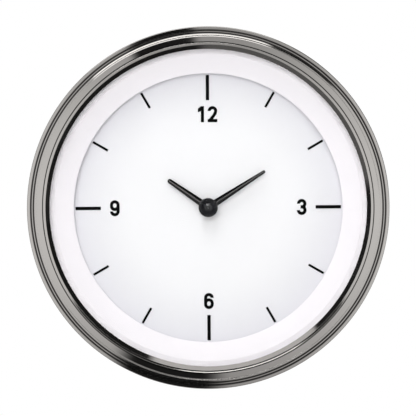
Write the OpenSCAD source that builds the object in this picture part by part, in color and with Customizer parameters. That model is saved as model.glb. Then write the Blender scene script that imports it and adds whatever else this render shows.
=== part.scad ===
// Car dashboard clock: a round panel instrument with a stepped metal bezel, a white dial with four
// numerals, two black hands, a stepping quartz movement and a clamp bracket behind the panel.
// Millimetres. The face looks along -Y, +X is to the right and +Z is up. The origin lies on the
// clock's axis, in the plane where the bezel seats on the dashboard panel.

/* [Case] */
// Diameter of the barrel that goes through the panel hole
barrel_d = 78.6; // [72:0.1:90]
// Sheet thickness of the drawn case
case_t = 0.8; // [0.5:0.05:1.2]
// Chamfer at the rear corner of the case
case_corner = 1.6; // [0.5:0.1:4]
// Wall left at the barrel's front rim, inside the flange ring
rim_t = 0.38; // [0.3:0.02:0.4]
// Room behind the circuit board
rear_room = 6.6; // [6:0.1:14]

/* [Bezel] */
// Width of the seat that the bezel makes past the barrel
seat_w = 3.55; // [3.3:0.05:6]
// Sheet thickness of the bezel
sheet_t = 0.7; // [0.4:0.05:0.9]
// Gap between the barrel and the lip crimped behind the flange
lip_gap = 0.9; // [0.85:0.05:1.5]
// Height of the outer skirt above the panel
skirt_h = 2.4; // [2.2:0.1:3.4]
// Width of the rim's first tread
tread_1_w = 0.95; // [0.6:0.05:1.4]
// Width of the second tread
tread_2_w = 0.7; // [0.5:0.05:1.2]
// Rise across each tread
tread_rise = 0.35; // [0.1:0.05:0.6]
// Width of the shoulder above the second riser
shoulder_w = 0.8; // [0.4:0.05:1.2]
// Rise across the shoulder
shoulder_rise = 0.4; // [0.1:0.05:0.8]
// Width of the broad front band
band_w = 1.5; // [1:0.05:3]
// Rise across the front band
band_rise = 0.7; // [0.1:0.05:1.5]
// Width of the rounded front edge
edge_w = 0.5; // [0.2:0.05:1]
// Width of the throat that drops to the glass
throat_w = 1.0; // [0.5:0.05:2]
// Height of the upright edge between the throat and the glass
throat_edge = 0.78; // [0.3:0.02:0.9]

/* [Glass and trim ring] */
// Thickness of the glass
lens_t = 1.8; // [1:0.1:3]
// Thickness of the gasket in front of the glass
gasket_t = 0.3; // [0.2:0.05:0.8]
// Radial width of the gasket
gasket_w = 2.2; // [1:0.1:2.8]
// Height of the trim ring from the case flange to the glass
ring_h = 2.4; // [2:0.1:4]
// Width of the ring's flat land inside the throat
land_w = 1.2; // [0.5:0.1:2]
// Radial width of the ring's cone
cone_w = 4.45; // [3:0.05:8]
// Depth that the cone falls
cone_drop = 2.0; // [1:0.1:2.4]
// Height of the ring's inner edge
ring_edge = 0.4; // [0.2:0.05:0.6]
// Wall of the ring's moulding
ring_wall = 0.8; // [0.5:0.05:1.2]
// Set-back of the ring's rear skirt from its inner edge
skirt_back = 1.3; // [0.5:0.1:2.5]
// Depth of the dial below the ring's inner edge
dial_recess = 2.0; // [1.8:0.1:4]

/* [Dial] */
// Thickness of the dial
dial_t = 0.8; // [0.4:0.1:1.5]
// Thickness of the printed marks and numerals
ink_t = 0.08; // [0.04:0.01:0.2]
// Gap between the marks and the ring's inner edge
mark_inset = 0.35; // [0.1:0.05:1.5]
// Length of the four long marks
long_mark_l = 6.0; // [4:0.1:8]
// Width of the four long marks
long_mark_w = 0.8; // [0.3:0.01:1.2]
// Length of the eight short marks
short_mark_l = 4.1; // [2:0.1:6]
// Width of the eight short marks
short_mark_w = 0.57; // [0.2:0.01:1]
// Height of the numerals
numeral_h = 3.8; // [3:0.1:5]
// Width of one numeral
numeral_w = 2.3; // [1.8:0.05:2.8]
// Width of the numeral one
one_w = 1.45; // [1.2:0.05:2]
// Straight length in the sides of the bowls of six and nine
bowl_straight = 0.25; // [0:0.05:0.4]
// Stroke of the numerals
numeral_stroke = 0.74; // [0.3:0.02:0.75]
// Gap between the digits of the twelve
digit_gap = 0.85; // [0.3:0.05:1]
// Distance from the long marks to the middle of each numeral
numeral_inset = 3.3; // [2.8:0.1:5]

/* [Hands] */
// Length of the minute hand from the axis to its tip
minute_hand_l = 15.97; // [10:0.1:26]
// Width of the minute hand at its root
minute_root_w = 1.8; // [1:0.05:3]
// Width of the minute hand at its tip
minute_tip_w = 0.75; // [0.3:0.05:1]
// Length of the hour hand from the axis to its tip
hour_hand_l = 11.57; // [7:0.1:20]
// Width of the hour hand at its root
hour_root_w = 1.75; // [1:0.05:3]
// Width of the hour hand at its tip
hour_tip_w = 1.1; // [0.3:0.05:1.5]
// Thickness of each blade at its edges
blade_t = 0.25; // [0.15:0.05:0.4]
// Height of the lengthwise ridge above the blade's edges
ridge_h = 0.22; // [0.1:0.02:0.25]
// Height of each hand's boss
hand_boss_h = 1.0; // [0.9:0.05:1.2]
// Gap between the dial and the hour hand's boss
hand_gap = 0.8; // [0.4:0.1:1.2]
// Diameter of the hub cap
cap_d = 4.54; // [4:0.02:7]
// Height of the hub cap
cap_h = 0.7; // [0.4:0.05:0.9]
// Bevel round the hub cap
cap_bevel = 0.24; // [0.1:0.02:0.35]
// Minutes after ten o'clock that the hands show at rest
shown_minutes = 9.6; // [0:0.1:59]

/* [Movement] */
// Thickness of the movement plates
plate_t = 1.6; // [1:0.1:2.5]
// Width of the movement plates
plate_w = 48; // [44:0.5:56]
// Diameter of the pillars between the plates
pillar_d = 4.4; // [3.6:0.1:5]
// Thickness of the gear wheels
wheel_t = 1.0; // [0.6:0.05:1.4]
// Extra width of each pinion on both sides of its wheel
pinion_over = 0.4; // [0.2:0.05:0.6]
// Tooth module of the motion work
motion_m = 0.45; // [0.4:0.01:0.52]
// Tooth module of the centre wheel and third pinion
centre_m = 0.25; // [0.22:0.01:0.28]
// Tooth module of the third wheel and rotor pinion
rotor_m = 0.2; // [0.19:0.01:0.24]
// Diameter of the centre arbor
centre_arbor_d = 1.2; // [0.8:0.05:1.4]
// Wall of the cannon pinion's pipe
cannon_wall = 0.35; // [0.25:0.05:0.5]
// Wall of the hour wheel's pipe
hour_pipe_wall = 0.45; // [0.3:0.05:0.6]
// Diameter of the third wheel's arbor
third_arbor_d = 1.5; // [1:0.05:1.7]
// Diameter of the rotor's arbor
rotor_arbor_d = 1.1; // [0.9:0.05:1.3]
// Diameter of the pivots in the plates
pivot_d = 0.8; // [0.5:0.05:0.85]
// Diameter of the setting shaft
setting_d = 2.0; // [1.6:0.05:2.6]

/* [Stepping motor] */
// Diameter of the rotor's magnet
magnet_d = 4.0; // [3:0.1:5]
// Length of the rotor's magnet
magnet_l = 3.0; // [2:0.1:4]
// Air gap between the magnet and the stator
air_gap = 0.5; // [0.4:0.05:0.8]
// Thickness of the stator plate and of the coil core
core_t = 1.2; // [0.8:0.05:1.6]
// Length of the stator and of the coil core
core_l = 30; // [26:0.5:32]
// Width of the coil core
core_w = 3.2; // [2.8:0.1:4]
// Length of the bobbin over its flanges
bobbin_l = 20; // [14:0.5:21]
// Diameter of the bobbin's flanges
bobbin_d = 7.2; // [6.4:0.1:8]
// Diameter of the winding
winding_d = 6.4; // [5.6:0.1:7]

/* [Circuit] */
// Thickness of the circuit board
board_t = 1.6; // [0.8:0.1:2]
// Gap between the movement and the board
board_gap = 3.2; // [2:0.1:6]
// Length of the driver chip
chip_l = 9.5; // [6:0.1:12]
// Width of the driver chip
chip_w = 6.4; // [4:0.1:8]
// Height of the driver chip
chip_h = 3.2; // [2:0.1:4]
// Diameter of the quartz crystal's can
crystal_d = 3.0; // [2:0.1:4]
// Length of the quartz crystal's can
crystal_l = 8.0; // [6:0.1:10]
// Diameter of the capacitor
capacitor_d = 5.0; // [4:0.1:5.5]
// Length of the capacitor
capacitor_l = 9.0; // [7:0.1:11]

/* [Rear fittings] */
// Diameter of the terminal studs' free ends
terminal_d = 4.0; // [3:0.1:5]
// Length of the terminal studs behind the case
terminal_l = 10; // [8:0.5:14]
// Half the spacing of the terminals
terminal_x = 12; // [10:0.5:15]
// Diameter of the setting knob
knob_d = 12; // [8:0.5:14]
// Length of the setting knob
knob_l = 9; // [6:0.5:14]
// Diameter of the lamp holder's sleeve
lamp_d = 10; // [8:0.1:11]
// Length of the lamp holder's sleeve inside the case
lamp_l = 10; // [6:0.5:14]
// Diameter of the lamp's glass bulb
bulb_d = 6.4; // [5:0.1:7.5]
// Length of the lamp's glass bulb
bulb_l = 8.0; // [6:0.5:9]

/* [Clamp bracket] */
// Diameter of the studs that carry the bracket
stud_d = 4.0; // [3:0.1:5]
// Length of the studs behind the case
stud_l = 22; // [18:0.5:36]
// Half the spacing of the studs
stud_x = 27; // [24:0.5:30]
// Width of the bracket's strip
bracket_w = 12; // [8:0.5:12.5]
// Thickness of the bracket's strip
bracket_t = 1.6; // [1:0.1:1.6]
// Gap between the barrel and the bracket's legs
leg_gap = 1.4; // [1:0.1:1.5]
// Gap between the case and the bracket's bridge
bridge_gap = 4.6; // [4:0.1:8]
// Gap between the panel seat and the bracket's feet
foot_gap = 2.5; // [2.3:0.1:6]
// Diameter of the thumb nuts
nut_d = 11; // [9:0.5:14]
// Height of the thumb nuts
nut_h = 5.5; // [4:0.5:8]

/* [Fits] */
// Radial clearance of a shaft that turns in a bore
run_fit = 0.05; // [0.03:0.01:0.08]
// Radial clearance of pieces that are pressed together
press_fit = 0.02; // [0.01:0.01:0.04]
// Radial clearance of a screw or stud in its hole
hole_fit = 0.25; // [0.1:0.05:0.4]
// Gap between pieces that move past each other
move_gap = 0.3; // [0.2:0.05:0.4]

/* [Hidden] */
$fn = 96;

// Radii of the case and bezel, from the barrel outwards and then in to the glass
barrel_r = barrel_d / 2;
case_in_r = barrel_r - case_t;
bezel_r = barrel_r + seat_w;
lip_r = barrel_r + lip_gap;
step_1_r = bezel_r - tread_1_w;
step_2_r = step_1_r - tread_2_w;
band_r = step_2_r - shoulder_w;
edge_r = band_r - band_w;
throat_r = edge_r - edge_w;
sight_r = throat_r - throat_w;
lens_r = step_2_r - sheet_t - 2 * run_fit;
land_r = sight_r - land_w;
window_r = land_r - cone_w;
skirt_r = window_r + skirt_back;
rim_r = case_in_r + rim_t;
flange_r = bezel_r - sheet_t - run_fit;
dial_r = case_in_r - move_gap;

// Depths of the front, positive towards the viewer, from the panel seat at 0
flange_z = sheet_t;
ring_z = flange_z + case_t;
lens_z = ring_z + ring_h;
gasket_z = lens_z + lens_t;
under_z = gasket_z + gasket_t;
shoulder_z = under_z + sheet_t;
step_h = (shoulder_z - skirt_h) / 2;
band_z = shoulder_z + shoulder_rise;
crown_z = band_z + band_rise;
cone_z = lens_z - cone_drop;
dial_z = cone_z - ring_edge - dial_recess;
dial_back_z = dial_z - dial_t;

// Depths of the hands
hour_boss_z = dial_z + hand_gap;
boss_gap = 0.2;
minute_boss_z = hour_boss_z + hand_boss_h + boss_gap;
cap_z = minute_boss_z + hand_boss_h;
blade_lift = 0.2;
pipe_back = 0.2;

// Depths of the movement, each named for the face nearest the dial
pinion_h = wheel_t + 2 * pinion_over;
wheel_gap = 0.8;
setting_top_z = dial_back_z - 2 * move_gap;
hour_wheel_z = setting_top_z - pinion_over;
minute_wheel_z = setting_top_z - pinion_h - pinion_over;
cannon_z = minute_wheel_z + pinion_over;
cannon_end_z = cannon_z - pinion_h;
front_plate_z = cannon_end_z - 2 * move_gap;
front_plate_end_z = front_plate_z - plate_t;
centre_wheel_z = front_plate_end_z - wheel_gap - pinion_over;
friction_z = centre_wheel_z - wheel_t;
friction_t = 0.4;
collet_z = friction_z - friction_t;
collet_h = 1.0;
third_wheel_z = friction_z - wheel_gap - pinion_over;
magnet_z = third_wheel_z - wheel_t - pinion_over - wheel_gap;
stator_z = magnet_z - (magnet_l - core_t) / 2;
core_z = stator_z + core_t;
coil_z = stator_z + core_t / 2;
motor_end_z = min(magnet_z - magnet_l, coil_z - bobbin_d / 2);
back_plate_z = motor_end_z - 2 * move_gap;
back_plate_end_z = back_plate_z - plate_t;
board_z = back_plate_end_z - board_gap;
board_end_z = board_z - board_t;
case_back_z = board_end_z - rear_room;
case_end_z = case_back_z - case_t;

// Tooth counts: twelve to one in the motion work, sixty to one from the rotor
cannon_n = 15;
minute_n = 45;
hour_pinion_n = 12;
hour_n = 48;
centre_n = 80;
third_pinion_n = 10;
third_n = 75;
rotor_n = 10;
pressure_angle = 20;
tooth_play = 0.1;
flank_steps = 2;
wheel_add = 0.6;
wheel_ded = 1.25;
pinion_add = 0.9;
pinion_ded = 0.9;

// Places of the arbors on the face
setting_y = -motion_m * (cannon_n + minute_n) / 2;
third_dir = 20;
third_at = centre_m * (centre_n + third_pinion_n) / 2 * [cos(third_dir), sin(third_dir)];
rotor_dir = 100;
rotor_at = third_at + rotor_m * (third_n + rotor_n) / 2 * [cos(rotor_dir), sin(rotor_dir)];
minute_turn = -6 * shown_minutes;
shown_hour = 10;
hour_turn = -30 * (shown_hour + shown_minutes / 60);

// Radii of the arbors and pipes
arbor_r = centre_arbor_d / 2;
cannon_r = arbor_r + press_fit + cannon_wall;
hour_bore_r = cannon_r + run_fit;
hour_pipe_r = hour_bore_r + hour_pipe_wall;
cap_overhang = 0.2;
hand_boss_r = cap_d / 2 - cap_overhang;
setting_r = setting_d / 2;
pivot_r = pivot_d / 2;
bush_wall = 1.4;
bush_r = arbor_r + bush_wall;
collet_step = 0.4;
collet_r = bush_r - collet_step;
spring_arm_w = 1.2;
spring_reach = 1.0;
hour_tip_r = motion_m * (hour_n / 2 + wheel_add);
lightening_n = 6;

// Plan of the movement
bobbin_flange_t = 0.8;
winding_depth = 1.0;
bobbin_r = winding_d / 2 - winding_depth;
stator_web = 0.9;
stator_half_h = magnet_d / 2 + air_gap + stator_web;
coil_y = rotor_at[1] + stator_half_h + bobbin_d / 2 + move_gap;
arm_w = (core_l - bobbin_l) / 2 - move_gap;
arm_x = core_l / 2 - arm_w / 2;
plate_edge = 0.8;
plate_top = coil_y + core_w / 2 + plate_edge;
plate_foot = 6.5;
plate_bottom = setting_y - plate_foot;
pillar_inset = 3.5;
pillar_x = plate_w / 2 - pillar_inset;
pillar_y = [plate_bottom + pillar_inset, plate_top - pillar_inset];
pillar_at = [for (x = [-pillar_x, pillar_x], y = pillar_y) [x, y]];
foot_r = 1.8;
foot_pin_r = 1.0;
foot_room = 4.0;
foot_x = hour_tip_r + foot_r + foot_room;
screw_r = 1.0;
screw_head_r = 2.1;
screw_head_h = 1.3;
screw_l = 5;
slot_w = 0.5;
slot_depth = 0.6;
spacer_wall = 0.6;
case_screw_r = 1.25;
case_screw_head_r = 2.6;
case_screw_head_h = 1.6;
cross_w = 0.8;
cross_depth = 0.8;
standoff_step = 0.8;
spigot_l = 4;

// Plan of the rear fittings
terminal_drop = 8.5;
terminal_y = setting_y - terminal_drop;
terminal_at = [[-terminal_x, terminal_y], [terminal_x, terminal_y]];
terminal_shoulder = 0.18;
terminal_root_r = terminal_d / 2 + terminal_shoulder;
insulator_wall = 0.9;
insulator_neck_r = terminal_root_r + press_fit + insulator_wall;
insulator_flange = 1.2;
insulator_r = insulator_neck_r + insulator_flange;
insulator_h = 1.5;
neck_proud = 0.5;
terminal_nut_h = 3.2;
terminal_nut_z = case_end_z - insulator_h - terminal_nut_h;
terminal_proud = 0.3;
terminal_neck_z = terminal_nut_z - terminal_proud;
board_edge = 5;
board_bottom = terminal_y - board_edge;
component_gap = 2.0;
crystal_y = capacitor_d / 2 + component_gap + crystal_d / 2;
knob_bush_wall = 1.2;
knob_bush_r = setting_r + run_fit + knob_bush_wall;
knob_bush_flange = 1.0;
knob_bush_flange_r = knob_bush_r + knob_bush_flange;
knob_bush_h = 1.0;
knob_z = case_end_z - knob_bush_h - move_gap;
knob_seat = 6;
flutes = 24;
flute_h = 0.25;
lamp_flange_w = 1.5;
lamp_flange_r = lamp_d / 2 + lamp_flange_w;
lamp_flange_h = 1.2;
lamp_tail_step = 1.5;
lamp_tail_r = lamp_d / 2 - lamp_tail_step;
lamp_tail_h = 5;
lamp_edge = 2.0;
lamp_y = case_in_r - lamp_flange_r - lamp_edge;
lamp_z = case_end_z - move_gap;
lamp_front_z = case_back_z + lamp_l;
bulb_seat = 3;

// Plan of the bracket
leg_r = barrel_r + leg_gap;
leg_out_r = leg_r + bracket_t;
bridge_z = case_end_z - bridge_gap;
bridge_end_z = bridge_z - bracket_t;
bend_r = 2.5;
nut_gap = 0.15;
nut_z = bridge_end_z - nut_gap;

// Turns a shape drawn on the face (x right, y up, z to the viewer) into the part's own frame
module face() rotate([90, 0, 0]) children();

// A round bar along the face's axis between two depths
module rod(r, z_low, z_high) translate([0, 0, z_low]) cylinder(r = r, h = z_high - z_low);

// A round tube along the face's axis between two depths
module tube(r, bore, z_low, z_high) difference() {
    rod(r, z_low, z_high);
    rod(bore, z_low - 1, z_high + 1);
}

// Copies of a shape at listed places on the face
module at_places(places) for (p = places) translate(p) children();

// The angle, in degrees, between a radius and the involute point reached at pressure angle a
function involute(a) = tan(a) * 180 / PI - a;

// Outline of an involute gear: n teeth of module m, with one tooth centred on the direction turn
function gear_points(n, m, add, ded, turn) =
    let (
        pitch_r = m * n / 2,
        base_r = pitch_r * cos(pressure_angle),
        root_r = pitch_r - ded * m,
        tip_r = pitch_r + add * m,
        start_r = max(base_r, root_r),
        base_half = 90 / n + involute(pressure_angle) - tooth_play * m / pitch_r * 180 / PI,
        flank = [for (i = [0:flank_steps]) start_r + (tip_r - start_r) * i / flank_steps],
        radii = root_r < base_r ? concat([root_r], flank) : flank,
        halves = [for (r = radii) base_half - involute(acos(min(1, base_r / r)))],
        last = len(radii) - 1
    )
    [for (k = [0:n - 1], side = [-1, 1], i = [0:last])
        let (j = side < 0 ? i : last - i, a = turn + 360 * k / n + side * halves[j])
        radii[j] * [cos(a), sin(a)]];

// A wheel with short teeth, and a pinion with long ones, from a depth down by a height
module wheel(n, m, turn, z, h) translate([0, 0, z - h]) linear_extrude(h)
    polygon(gear_points(n, m, wheel_add, wheel_ded, turn));
module pinion(n, m, turn, z, h) translate([0, 0, z - h]) linear_extrude(h)
    polygon(gear_points(n, m, pinion_add, pinion_ded, turn));

// Round holes that lighten a wheel, halfway between its hub and its teeth
module lightening(pitch_r, hub_r, z, h) for (k = [0:lightening_n - 1])
    rotate(360 * k / lightening_n) translate([(pitch_r + hub_r) / 2, 0, 0])
        rod((pitch_r - hub_r) / 4, z - h - 1, z + 1);

// A fluted grip's outline
function fluted(r) =
    [for (i = [0:4 * flutes - 1])
        let (a = 90 * i / flutes, dip = flute_h * (1 - cos(90 * i)) / 2)
        (r - dip) * [cos(a), sin(a)]];

// A hand's tapered blade with a roof ridge, pointing up, its underside at depth 0
module blade(length, root_w, tip_w) intersection() {
    linear_extrude(blade_t + ridge_h) {
        polygon([[-root_w / 2, 0], [root_w / 2, 0],
            [tip_w / 2, length - tip_w / 2], [-tip_w / 2, length - tip_w / 2]]);
        translate([0, length - tip_w / 2]) circle(d = tip_w);
    }
    translate([0, length, 0]) rotate([90, 0, 0]) linear_extrude(length)
        polygon([[-root_w / 2, 0], [root_w / 2, 0], [root_w / 2, blade_t],
            [0, blade_t + ridge_h], [-root_w / 2, blade_t]]);
}

// An upright oval ring of the numerals' stroke, with straight sides of a length between its round ends
module stroke_ring(r, straight = 0) difference() {
    stadium(r, straight);
    stadium(r - numeral_stroke, straight);
}

module stadium(r, straight) {
    for (side = [-1, 1]) translate([0, side * straight / 2]) circle(r = r);
    if (straight > 0) translate([-r, -straight / 2]) square([2 * r, straight]);
}

// The upper half of a stroke ring, its ends at height 0
module stroke_arch(r) difference() {
    stroke_ring(r);
    translate([-2 * r, -2 * r]) square([4 * r, 2 * r]);
}

// The digits, each centred on the origin
module digit_1() {
    top = numeral_h / 2;
    right = one_w / 2;
    stem = right - numeral_stroke;
    translate([stem, -top]) square([numeral_stroke, numeral_h]);
    flag_y = top - 1.6 * numeral_stroke;
    polygon([[right, top], [stem, top], [-right, top - 0.8 * numeral_stroke],
        [-right, top - 2 * numeral_stroke], [stem, flag_y], [right, flag_y]]);
}

module digit_2() {
    bow_r = numeral_w / 2;
    bow_y = numeral_h / 2 - bow_r;
    base_y = -numeral_h / 2;
    neck_y = bow_y - numeral_stroke;
    translate([0, bow_y]) stroke_arch(bow_r);
    slant_w = 1.4 * numeral_stroke;
    foot_y = base_y + numeral_stroke / 2;
    polygon([[bow_r, bow_y], [bow_r - numeral_stroke, bow_y], [bow_r - slant_w, neck_y],
        [-bow_r, foot_y], [-bow_r, base_y], [-bow_r + slant_w, foot_y],
        [bow_r - numeral_stroke / 4, neck_y]]);
    translate([-bow_r, base_y]) square([numeral_w, numeral_stroke]);
}

module digit_3() {
    low_r = numeral_w / 2;
    high_r = (numeral_h + numeral_stroke) / 2 - low_r;
    difference() {
        union() {
            translate([0, low_r - numeral_h / 2]) stroke_ring(low_r);
            translate([0, numeral_h / 2 - high_r]) stroke_ring(high_r);
        }
        translate([-numeral_w, low_r - numeral_h / 2])
            square([numeral_w - numeral_stroke / 3, numeral_h - low_r - high_r]);
    }
}

module digit_6() {
    bow_r = numeral_w / 2;
    bowl_y = bow_r + bowl_straight / 2 - numeral_h / 2;
    arch_y = numeral_h / 2 - bow_r;
    translate([0, bowl_y]) stroke_ring(bow_r, bowl_straight);
    translate([-bow_r, bowl_y]) square([numeral_stroke, arch_y - bowl_y]);
    translate([0, arch_y]) stroke_arch(bow_r);
}

// Case: a drawn can with a stepped front rim and holes in its back
module case_can() color("lightslategray") face() difference() {
    rotate_extrude() polygon([
        [rim_r, ring_z], [case_in_r, ring_z], [case_in_r, case_back_z + case_corner],
        [case_in_r - case_corner, case_back_z], [0, case_back_z], [0, case_end_z],
        [barrel_r - case_corner, case_end_z], [barrel_r, case_end_z + case_corner],
        [barrel_r, 0], [rim_r, 0]]);
    translate([0, lamp_y, 0]) rod(lamp_d / 2 + run_fit, case_end_z - 1, case_back_z + 1);
    translate([0, setting_y, 0]) rod(knob_bush_r + press_fit, case_end_z - 1, case_back_z + 1);
    at_places(terminal_at) rod(insulator_neck_r + press_fit, case_end_z - 1, case_back_z + 1);
    at_places(pillar_at) rod(case_screw_r + hole_fit, case_end_z - 1, case_back_z + 1);
}

// Flange: a flat ring soldered round the can's rim, which the bezel is crimped over
module case_flange() color("lightslategray") face() tube(flange_r, rim_r + press_fit, flange_z, ring_z);

// Bezel: pressed sheet ring, stepped in front and crimped behind the case flange
module bezel() color("silver") face() rotate_extrude() polygon([
    [lip_r, 0], [bezel_r, 0], [bezel_r, skirt_h],
    [step_1_r, skirt_h + tread_rise], [step_1_r, skirt_h + step_h],
    [step_2_r, skirt_h + step_h + tread_rise], [step_2_r, shoulder_z],
    [band_r, band_z], [edge_r, crown_z], [throat_r, crown_z - edge_w / 4],
    [sight_r, under_z + throat_edge], [sight_r, under_z],
    [step_2_r - sheet_t, under_z], [step_2_r - sheet_t, skirt_h + step_h + tread_rise - sheet_t],
    [step_1_r - sheet_t, skirt_h + step_h - sheet_t], [step_1_r - sheet_t, skirt_h + tread_rise - sheet_t],
    [bezel_r - sheet_t, skirt_h - sheet_t], [bezel_r - sheet_t, sheet_t], [lip_r, sheet_t]]);

module lens() color([0.85, 0.9, 0.95, 0.3]) face() rod(lens_r, lens_z, gasket_z);

module lens_gasket() color("dimgray") face() tube(lens_r, lens_r - gasket_w, gasket_z, under_z);

// Trim ring: white funnel that stands on the case flange and whose skirt holds the dial down
module trim_ring() color("white") face() rotate_extrude() polygon([
    [lens_r, ring_z], [lens_r, lens_z], [land_r, lens_z], [window_r, cone_z], [window_r, cone_z - ring_edge],
    [skirt_r, cone_z - ring_edge], [skirt_r, dial_z], [skirt_r + ring_wall, dial_z],
    [skirt_r + ring_wall, cone_z - ring_edge], [land_r, lens_z - ring_wall], [case_in_r, lens_z - ring_wall],
    [case_in_r, ring_z]]);

// Dial: white disc with a notch at the top, behind the ring, that lets the lamp's light through
module dial() color("white") face() difference() {
    rod(dial_r, dial_back_z, dial_z);
    rod(hour_pipe_r + move_gap, dial_back_z - 1, dial_z + 1);
    translate([-lamp_d / 2, skirt_r + ring_wall + move_gap, dial_back_z - 1])
        cube([lamp_d, dial_r, dial_t + 2]);
}

module dial_feet() color("goldenrod") face() for (x = [-foot_x, foot_x]) translate([x, 0, 0]) {
    rod(foot_r, front_plate_z, dial_back_z);
    rod(foot_pin_r, front_plate_end_z, front_plate_z);
}

module hour_marks() color("black") face() translate([0, 0, dial_z]) linear_extrude(ink_t)
    for (k = [0:11]) {
        mark_l = k % 3 == 0 ? long_mark_l : short_mark_l;
        mark_w = k % 3 == 0 ? long_mark_w : short_mark_w;
        rotate(30 * k) translate([-mark_w / 2, window_r - mark_inset - mark_l]) square([mark_w, mark_l]);
    }

module numerals() color("black") face() translate([0, 0, dial_z]) linear_extrude(ink_t) {
    numeral_r = window_r - mark_inset - long_mark_l - numeral_inset;
    translate([-(numeral_w + digit_gap) / 2, numeral_r]) digit_1();
    translate([(one_w + digit_gap) / 2, numeral_r]) digit_2();
    translate([numeral_r, 0]) digit_3();
    translate([0, -numeral_r]) digit_6();
    translate([-numeral_r, 0]) rotate(180) digit_6();
}

// Outline shared by both movement plates
module plate_outline() intersection() {
    translate([-plate_w / 2, plate_bottom]) square([plate_w, plate_top - plate_bottom]);
    circle(r = case_in_r - 2 * move_gap);
}

// Holes for the arbors that run in both movement plates
module plate_bores() {
    circle(r = bush_r + press_fit);
    translate([0, setting_y]) circle(r = setting_r + run_fit);
    translate(third_at) circle(r = pivot_r + run_fit);
    translate(rotor_at) circle(r = pivot_r + run_fit);
    at_places(pillar_at) circle(r = screw_r + hole_fit);
}

module front_plate() color("burlywood") face() translate([0, 0, front_plate_end_z]) linear_extrude(plate_t)
    difference() {
        plate_outline();
        plate_bores();
        for (x = [-foot_x, foot_x]) translate([x, 0]) circle(r = foot_pin_r + press_fit);
    }

module back_plate() color("burlywood") face() translate([0, 0, back_plate_end_z]) linear_extrude(plate_t)
    difference() {
        plate_outline();
        plate_bores();
        for (x = [-arm_x, arm_x]) translate([x, coil_y]) circle(r = screw_r + press_fit);
    }

module plate_pillars() color("gold") face() at_places(pillar_at)
    tube(pillar_d / 2, screw_r + press_fit, back_plate_z, front_plate_end_z);

module plate_screws() color("silver") face() at_places(pillar_at) difference() {
    union() {
        rod(screw_head_r, front_plate_z, front_plate_z + screw_head_h);
        rod(screw_r, front_plate_end_z - screw_l, front_plate_z);
    }
    translate([-screw_head_r - 1, -slot_w / 2, front_plate_z + screw_head_h - slot_depth])
        cube([2 * screw_head_r + 2, slot_w, slot_depth + 1]);
}

module centre_bushes() color("gold") face() {
    tube(bush_r, arbor_r + run_fit, front_plate_end_z, front_plate_z);
    tube(bush_r, arbor_r + run_fit, back_plate_end_z, back_plate_z);
}

// Stepped posts: a spigot into each pillar, a shoulder under the board and a bore for the case screw
module case_standoffs() color("gold") face() at_places(pillar_at) difference() {
    union() {
        rod(screw_r, back_plate_end_z, back_plate_z + spigot_l);
        rod(pillar_d / 2 + standoff_step, board_z, back_plate_end_z);
        rod(pillar_d / 2, case_back_z, board_z);
    }
    rod(case_screw_r + press_fit, case_back_z - 1, case_back_z + screw_l);
}

module case_screws() color("silver") face() at_places(pillar_at) difference() {
    union() {
        rod(case_screw_head_r, case_end_z - case_screw_head_h, case_end_z);
        rod(case_screw_r, case_end_z, case_back_z + screw_l - move_gap);
    }
    for (a = [0, 90]) rotate(a)
        translate([-case_screw_head_r / 2, -cross_w / 2, case_end_z - case_screw_head_h - 1])
            cube([case_screw_head_r, cross_w, cross_depth + 1]);
}

// Stator: flat iron with the rotor's hole and two arms that reach the ends of the coil core
module stator() color("slategray") face() translate([0, 0, stator_z - core_t]) linear_extrude(core_t)
    difference() {
        union() {
            translate([-core_l / 2, rotor_at[1] - stator_half_h]) square([core_l, 2 * stator_half_h]);
            for (x = [-arm_x, arm_x]) translate([x - arm_w / 2, rotor_at[1]])
                square([arm_w, coil_y + core_w / 2 - rotor_at[1]]);
        }
        translate(rotor_at) circle(r = magnet_d / 2 + air_gap);
        for (x = [-arm_x, arm_x]) translate([x, coil_y]) circle(r = screw_r + press_fit);
    }

module coil_core() color("slategray") face() translate([0, coil_y, stator_z]) linear_extrude(core_t)
    difference() {
        square([core_l, core_w], center = true);
        for (x = [-arm_x, arm_x]) translate([x, 0]) circle(r = screw_r + press_fit);
    }

// A round piece along the coil's own axis, which runs across the clock
module coil_tube(r, length) translate([-length / 2, coil_y, coil_z])
    rotate([0, 90, 0]) cylinder(r = r, h = length);

module coil_bobbin() color("ivory") face() difference() {
    union() {
        coil_tube(bobbin_r, bobbin_l);
        for (side = [-1, 1]) translate([side * (bobbin_l - bobbin_flange_t) / 2, 0, 0])
            coil_tube(bobbin_d / 2, bobbin_flange_t);
    }
    translate([0, coil_y, coil_z])
        cube([bobbin_l + 2, core_w + 2 * run_fit, core_t + 2 * run_fit], center = true);
}

module coil_winding() color("chocolate") face() difference() {
    coil_tube(winding_d / 2, bobbin_l - 2 * bobbin_flange_t - 2 * press_fit);
    coil_tube(bobbin_r + press_fit, bobbin_l);
}

module stator_spacers() color("gold") face() for (x = [-arm_x, arm_x]) translate([x, coil_y, 0])
    tube(screw_r + spacer_wall, screw_r + press_fit, back_plate_z, stator_z - core_t);

module stator_screws() color("silver") face() for (x = [-arm_x, arm_x]) translate([x, coil_y, 0]) {
    rod(core_w / 2, core_z, core_z + screw_head_h);
    rod(screw_r, back_plate_end_z, core_z);
}

module circuit_board() color("seagreen") face() translate([0, 0, board_end_z]) linear_extrude(board_t)
    difference() {
        intersection() {
            translate([-plate_w / 2, board_bottom]) square([plate_w, plate_top - board_bottom]);
            circle(r = case_in_r - 2 * move_gap);
        }
        at_places(pillar_at) circle(r = pillar_d / 2 + run_fit);
        at_places(terminal_at) circle(r = terminal_root_r + press_fit);
        translate([0, setting_y]) circle(r = setting_r + move_gap);
    }

module driver_chip() color([0.12, 0.12, 0.13]) face()
    translate([-chip_l - component_gap, -chip_w / 2, board_end_z - chip_h]) cube([chip_l, chip_w, chip_h]);

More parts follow.
